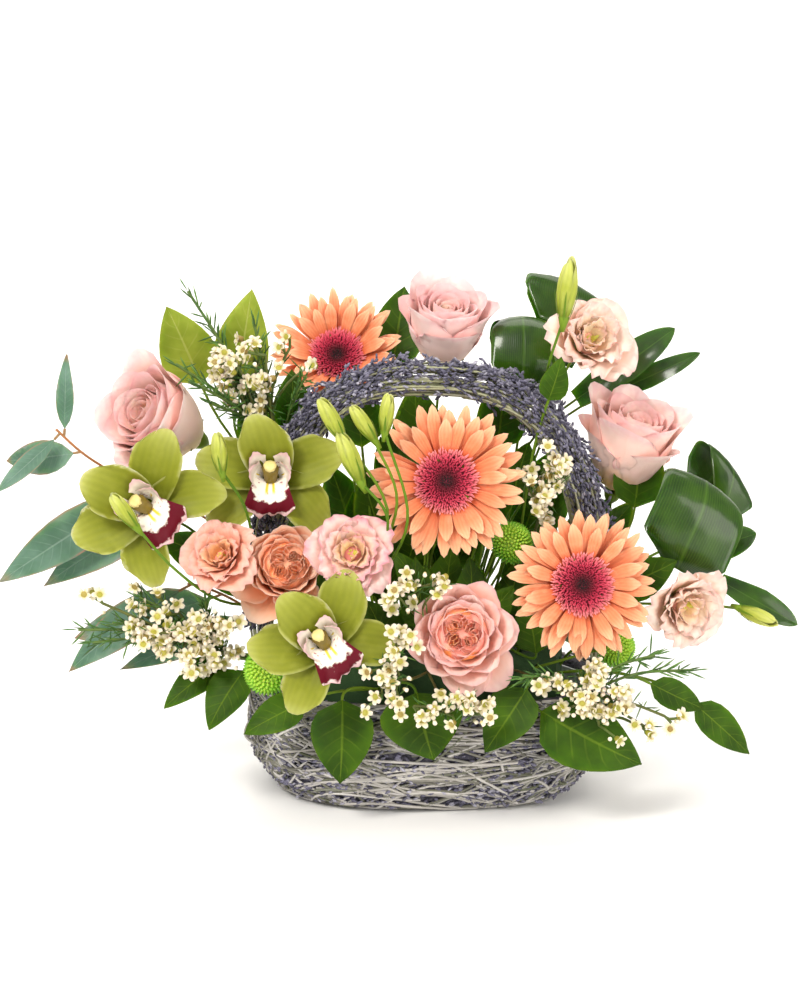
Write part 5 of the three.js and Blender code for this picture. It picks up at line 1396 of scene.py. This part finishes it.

# %% [markdown]
# ## Leaves between the stems
#
# A florist fills the room between the stems with leaves until no foam shows. They stand in shade, so nobody reads
# their exact places: random roots behind and below the flowers do, each with a stalk down to the foam. A few
# more are placed where the photo has leaves and the random ones leave a hole. None stands in the room
# under the arch where a hand takes the handle.

# %% Dark leaves between the stems
INNER_LEAVES, WIDELY = 72, 46  # all random ones, and the first of them, which stand in the whole width
BY_HAND = [  # the base, the way ahead, and the length
    ((83, -14, 280), (0.35, -0.2, 1), 32), ((-112, 24, 232), (-0.3, 0, 1), 50), ((-96, 22, 250), (0.1, 0, 1), 46),
    ((-128, 12, 196), (-0.6, 0, 1), 48), ((-146, -20, 168), (-1, 0, 0.5), 44), ((147, 16, 198), (0.1, 0, 1), 60),
    ((130, -24, 150), (1, -0.2, 0.4), 48), ((-116, 0, 150), (-1, -0.2, 0.2), 46), ((-46, 36, 238), (-0.1, 0, 1), 56),
    ((50, 38, 236), (0.15, 0, 1), 58),
]
inner, stalks = Bed(), []
for i in range(INNER_LEAVES):
    x = dice.uniform(-95, 120) if i < WIDELY else dice.uniform(-40, 110)
    if i % 3:  # behind the flowers
        y, z = dice.uniform(26, 58), dice.uniform(112, 214)
    else:  # below them
        y, z = dice.uniform(-52, -26), dice.uniform(100, 140)
    ahead = (x * 0.004 + dice.gauss(0, 0.35), dice.gauss(0, 0.15), 1)
    face = (dice.gauss(0, 0.35), -1, dice.uniform(-0.2, 0.5))
    sizes = (dice.uniform(36, 54), dice.uniform(22, 34), 0.6)
    inner.add((x, y, z), ahead, face, sizes, (8, -16, 26), (0.05, 1.2, dice.uniform(-9, 9)), dice.random())
    stalks.append((stalk((x * 0.5, y * 0.6, 106), (x, y, z), ahead, 0), 1.0, dice.random()))
for base, ahead, long in BY_HAND:
    inner.add(base, ahead, (dice.gauss(0, 0.2), -1, 0.2), (long, long * 0.66, 0.6), (6, -20, 30), (0.05, 0.8, 4), 0.3)
    stalks.append((stalk((base[0] * 0.6, base[1] * 0.6, 106), base, ahead, 0), 1.0, 0.5))
dress(inner.grow("inner_leaves", OVATE, LEMON), "lemon_leaf")
dress(tubes("inner_stalks", stalks, STEM, sides=5), "lemon_leaf")

# %% [markdown]
# ## Eucalyptus
#
# Two branches reach out to the left with long, sickle shaped leaves in a bluish green. The leaves are listed one
# by one, because their places make the outline on that side. A longer card with a narrow tip is enough.

# %% Eucalyptus
# Each leaf: how far along its stem it sits, where its tip is, its width, and the way that it faces
eucalyptus = table(
    "node root stem leaves",
    ("eucalyptus_upper", (-84, 24, 106), [(-150, 22, 184), (-226, -12, 234), (-258, -22, 264)], [
        (0.94, (-243, -22, 312), 13, (-0.2, -1, 0)), (0.96, (-292, -32, 216), 14, (-0.2, -1, 0.4)),
        (0.84, (-292, -8, 234), 24, (0, -1, 0.2)), (0.66, (-298, -16, 150), 31, (-0.1, -1, 0.2)),
        (0.58, (-272, -4, 152), 29, (0, -1, 0.3))]),
    ("eucalyptus_lower", (-93, 22, 92), [(-130, 34, 120), (-156, 6, 142), (-180, -14, 152)], [
        (0.86, (-256, -34, 106), 28, (0, -1, 0.2)), (0.66, (-246, -8, 104), 36, (0, -1, 0.4)),
        (0.48, (-214, -10, 84), 22, (0, -1, 0.3))]),
)
GUM = leaf_finish("eucalyptus_leaf", "4C6A58", "6A8678", "8CA294", veins=14, rough=0.55, tips="A06850")
GUM_STEM = ordered_finish("eucalyptus_stem", "A86A3C", "8E7048", rough=0.6)
GUM_STEPS = 40
narrow, stalks = Bed(), []
for g in eucalyptus:
    foot = rooted(g["root"])
    line = smooth([foot - leaving(foot) * 2, foot + leaving(foot) * 5, *g["stem"]], GUM_STEPS)
    seen = int(max(leaf[0] for leaf in g["leaves"]) * GUM_STEPS) + 2
    stalks.append((line[:seen], np.linspace(1.6, 0.7, seen), 0.2))
    for share, to, width, face in g["leaves"]:
        base = line[int(share * GUM_STEPS)]
        ahead = np.subtract(to, base)
        start = base + ahead * 0.1
        stalks.append((np.array([base, lerp(base, start, 0.5), start]), 0.6, 0.9))
        sizes = (np.linalg.norm(ahead) * 0.92, width * 1.04, 0.6)
        narrow.add(start, ahead, face, sizes, (12, -14, 22), (0.04, 1.2, dice.uniform(-10, 10)), dice.random())
dress(narrow.grow("eucalyptus_leaves", LANCE, GUM), "eucalyptus_leaf", *(g["node"] for g in eucalyptus))
dress(tubes("eucalyptus_stems", stalks, GUM_STEM), "eucalyptus_leaf")

# %% [markdown]
# ## Folded strap leaves
#
# An aspidistra leaf is as wide as a hand and stiff enough to be bent back on itself, so florists roll it into a
# loop. A card bent evenly would make a tube. The ribbon below follows a path instead: flat at both ends, with a
# tight turn at the top where the leaf folds and gets narrower. It has fine ribs along it and a waxy shine.

# %% Strap leaf places, card and finish
# The axis lies across the leaf, the path runs along it, and each flat tip is listed as the leaves above are
loops = table(
    "node root axis width path tips",
    ("aspidistra_top_left", (30, 40, 106), (1, 0, -0.02), 46,
     [(68, 58, 262), (68, 66, 300), (68, 54, 328), (68, 36, 324), (68, 26, 300), (68, 34, 276)],
     [((108, 62, 268), (181, 58, 316), 28, (0, -1, 0.5))]),
    ("aspidistra_top_right", (38, 50, 106), (0.93, 0, -0.36), 58,
     [(98, 86, 290), (100, 90, 328), (101, 82, 351), (99, 70, 346), (94, 66, 322)],
     [((124, 74, 266), (198, 56, 298), 18, (0, -1, 0.4))]),
    ("aspidistra_right_front", (86, -22, 106), (0.86, 0, -0.5), 66,
     [(184, 4, 180), (192, 8, 206), (194, -8, 222), (190, -24, 206), (178, -28, 178), (174, -20, 162)],
     [((206, -4, 150), (258, -18, 118), 22, (0.2, -1, 0.5))]),
    ("aspidistra_right_back", (84, 36, 106), (0.62, 0, -0.78), 50,
     [(188, 50, 176), (203, 54, 206), (213, 46, 226), (219, 34, 219), (213, 30, 194)],
     [((196, 44, 160), (238, 36, 172), 26, (0.1, -1, 0.4))]),
)
STRAP_LEAF = leaf_finish("aspidistra_leaf", "183400", "305006", "4A6E1C", stripes=34, rough=0.28, coat=0.6)
STRAP_TIP = card("strap_tip_card", lambda u: min(1, 0.5 + u) * (1 - u**4) ** 0.7, along=12, across=6)


# %% Ribbons of leaf
ALONG, ACROSS = 37, 15  # points along and across a ribbon


def ribbon(name, path, axis, width, material):
    """A strip of leaf that follows a path. Its width lies along the axis, and narrows where the leaf turns over."""
    line = smooth(path, ALONG - 1)
    ahead = np.gradient(line, axis=0)
    across = unit(axis)
    up = np.cross(ahead, across)
    up /= np.linalg.norm(up, axis=1, keepdims=True)
    fold = line[:, 2].argmax() / (ALONG - 1)
    points, uv, faces = [], [], []
    for top in (1, -1):
        for i in range(ALONG):
            t = i / (ALONG - 1)
            pinch = 1 - 0.3 * math.exp(-(((t - fold) / 0.09) ** 2))
            share = min(1, 0.3 + 2.6 * t, 0.45 + 3 * (1 - t)) * pinch
            for j in range(ACROSS):
                s = -1 + 2 * j / (ACROSS - 1)
                thick = top * 0.45 * math.sqrt(1 - s * s) - 3 * s * s + 0.12 * math.sin(s * 13 + t * 5)
                points.append((line[i] + across * s * width / 2 * share + up[i] * thick) * MM)
                uv.append((t, (s + 1) / 2))
    below = ALONG * ACROSS
    for i in range(ALONG - 1):
        for j in range(ACROSS - 1):
            a = i * ACROSS + j
            face = (a, a + 1, a + 1 + ACROSS, a + ACROSS)
            faces += [face[::-1], tuple(k + below for k in face)]
    rim = [(i, j, ACROSS, flip) for i in range(ALONG - 1) for j, flip in ((0, False), (ACROSS - 1, True))]
    rim += [(i, j, 1, flip) for j in range(ACROSS - 1) for i, flip in ((0, True), (ALONG - 1, False))]
    for i, j, step, flip in rim:
        a = i * ACROSS + j
        face = (a, a + step, a + step + below, a + below)
        faces.append(face[::-1] if flip else face)
    return skin(name, points, faces, material, uv)


# %% Folded strap leaves
tips, stalks = Bed(), []
for g in loops:
    dress(ribbon(g["node"] + "_loop", g["path"], g["axis"], g["width"], STRAP_LEAF), "aspidistra_leaf", g["node"])
    path = np.array(g["path"], float)
    stalks.append((stalk(g["root"], path[0] + unit(path[1] - path[0]) * 4, path[1] - path[0], 0), 2, 0.5))
    for start, to, width, face in g["tips"]:
        ahead = np.subtract(to, start)
        tips.add(start, ahead, face, (np.linalg.norm(ahead), width, 0.8), (10, -12, 24), (0.02, 0.6, 4))
        stalks.append((stalk(g["root"], start, ahead, 1), 1.6, 0.5))
dress(tips.grow("aspidistra_tips", STRAP_TIP, STRAP_LEAF), "aspidistra_leaf")
dress(tubes("aspidistra_stalks", stalks, STEM), "aspidistra_leaf")

# %% [markdown]
# ## Liner and foam
#
# The thin liner and the wet block are plain solids, and only a strip of them shows between the stems, so they
# stay as they are and get a finish each.


# %% Liner and foam finishes
def foam_paint(tree):
    grain = tree.noise(900, 3)
    return {"Base Color": tree.blend(grain, rgb("1F3A1C"), rgb("35562C")), "Roughness": grain * 0.2 + 0.8,
            "Normal": tree.bump(grain, 0.8, 0.0005)}


def liner_paint(tree):
    creases = tree.noise(90, 4)
    return {"Base Color": tree.blend(creases, rgb("DADFE0"), rgb("F0F2F2")), "Roughness": creases * 0.2 + 0.2,
            "Normal": tree.bump(creases, 0.6, 0.002)}


INSIDE = {"foam": finish("wet_foam", foam_paint), "liner": finish("liner_film", liner_paint, ior=1.49)}
for node, material in INSIDE.items():
    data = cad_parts[node].data
    data.materials.clear()
    data.materials.append(material)

# %% [markdown]
# ## Floor, light and camera
#
# The arrangement stands on a white sweep that curves up behind it. A soft light comes from the upper left in front,
# so the shadow falls softly to the right. A weaker one fills from the right, one lights the sweep, and a nearly
# white world does the rest.


# %% The sweep
FRONT, BACK, BEND, TOP, HALF_WIDTH = -4.0, 1.2, 1.5, 6.0, 6.0  # metres
GAP = 0.0008  # keeps the sweep clear of the basket's underside


def white(tree):
    cloth = tree.noise(3, 1)
    colour = tree.blend(cloth, (0.94, 0.94, 0.94, 1), (0.96, 0.96, 0.96, 1))
    return {"Base Color": colour, "Roughness": cloth * 0.1 + 0.8}


profile = [(FRONT, 0.0), (BACK, 0.0)]
profile += [(BACK + BEND * math.sin(a), BEND - BEND * math.cos(a)) for a in np.linspace(0.1, math.pi / 2, 16)]
profile += [(BACK + BEND, TOP)]
points = [(x, y, z - GAP) for y, z in profile for x in (-HALF_WIDTH, HALF_WIDTH)]
faces = [(2 * i, 2 * i + 1, 2 * i + 3, 2 * i + 2) for i in range(len(profile) - 1)]
sweep = skin("sweep", points, faces, finish("sweep", white))

# %% World and lights
world = bpy.data.worlds.new("studio")
world.use_nodes = True
background = world.node_tree.nodes["Background"].inputs
background["Color"].default_value = (1, 0.98, 0.95, 1)
background["Strength"].default_value = 0.58
bpy.context.scene.world = world


def soft_light(name, location, energy, size, target=(0, 0, 0.15)):
    """A square light that is aimed at the flowers unless told where."""
    data = bpy.data.lights.new(name, "AREA")
    data.energy, data.size, data.color = energy, size, (1, 0.96, 0.9)
    light = link(bpy.data.objects.new(name, data))
    light.location = location
    aim = unit(np.subtract(target, location))
    light.rotation_euler = (math.acos(-aim[2]), 0, math.atan2(aim[0], -aim[1]) + math.pi)


soft_light("key", (-1.2, -1.7, 2.0), 58, 0.8)
soft_light("fill", (1.6, -2.0, 0.8), 34, 1.6)
soft_light("backdrop", (0, 1.0, 2.4), 55, 2.4, target=(0, 2.6, 0))

# %% Camera
lens = bpy.data.cameras.new("camera")
lens.lens = 82.3
camera = link(bpy.data.objects.new("camera", lens))
camera.location = (-0.019, -1.565, 0.5397)
camera.rotation_euler = (math.radians(78), 0, 0)
bpy.context.scene.camera = camera
bpy.context.scene.view_settings.view_transform = "Standard"
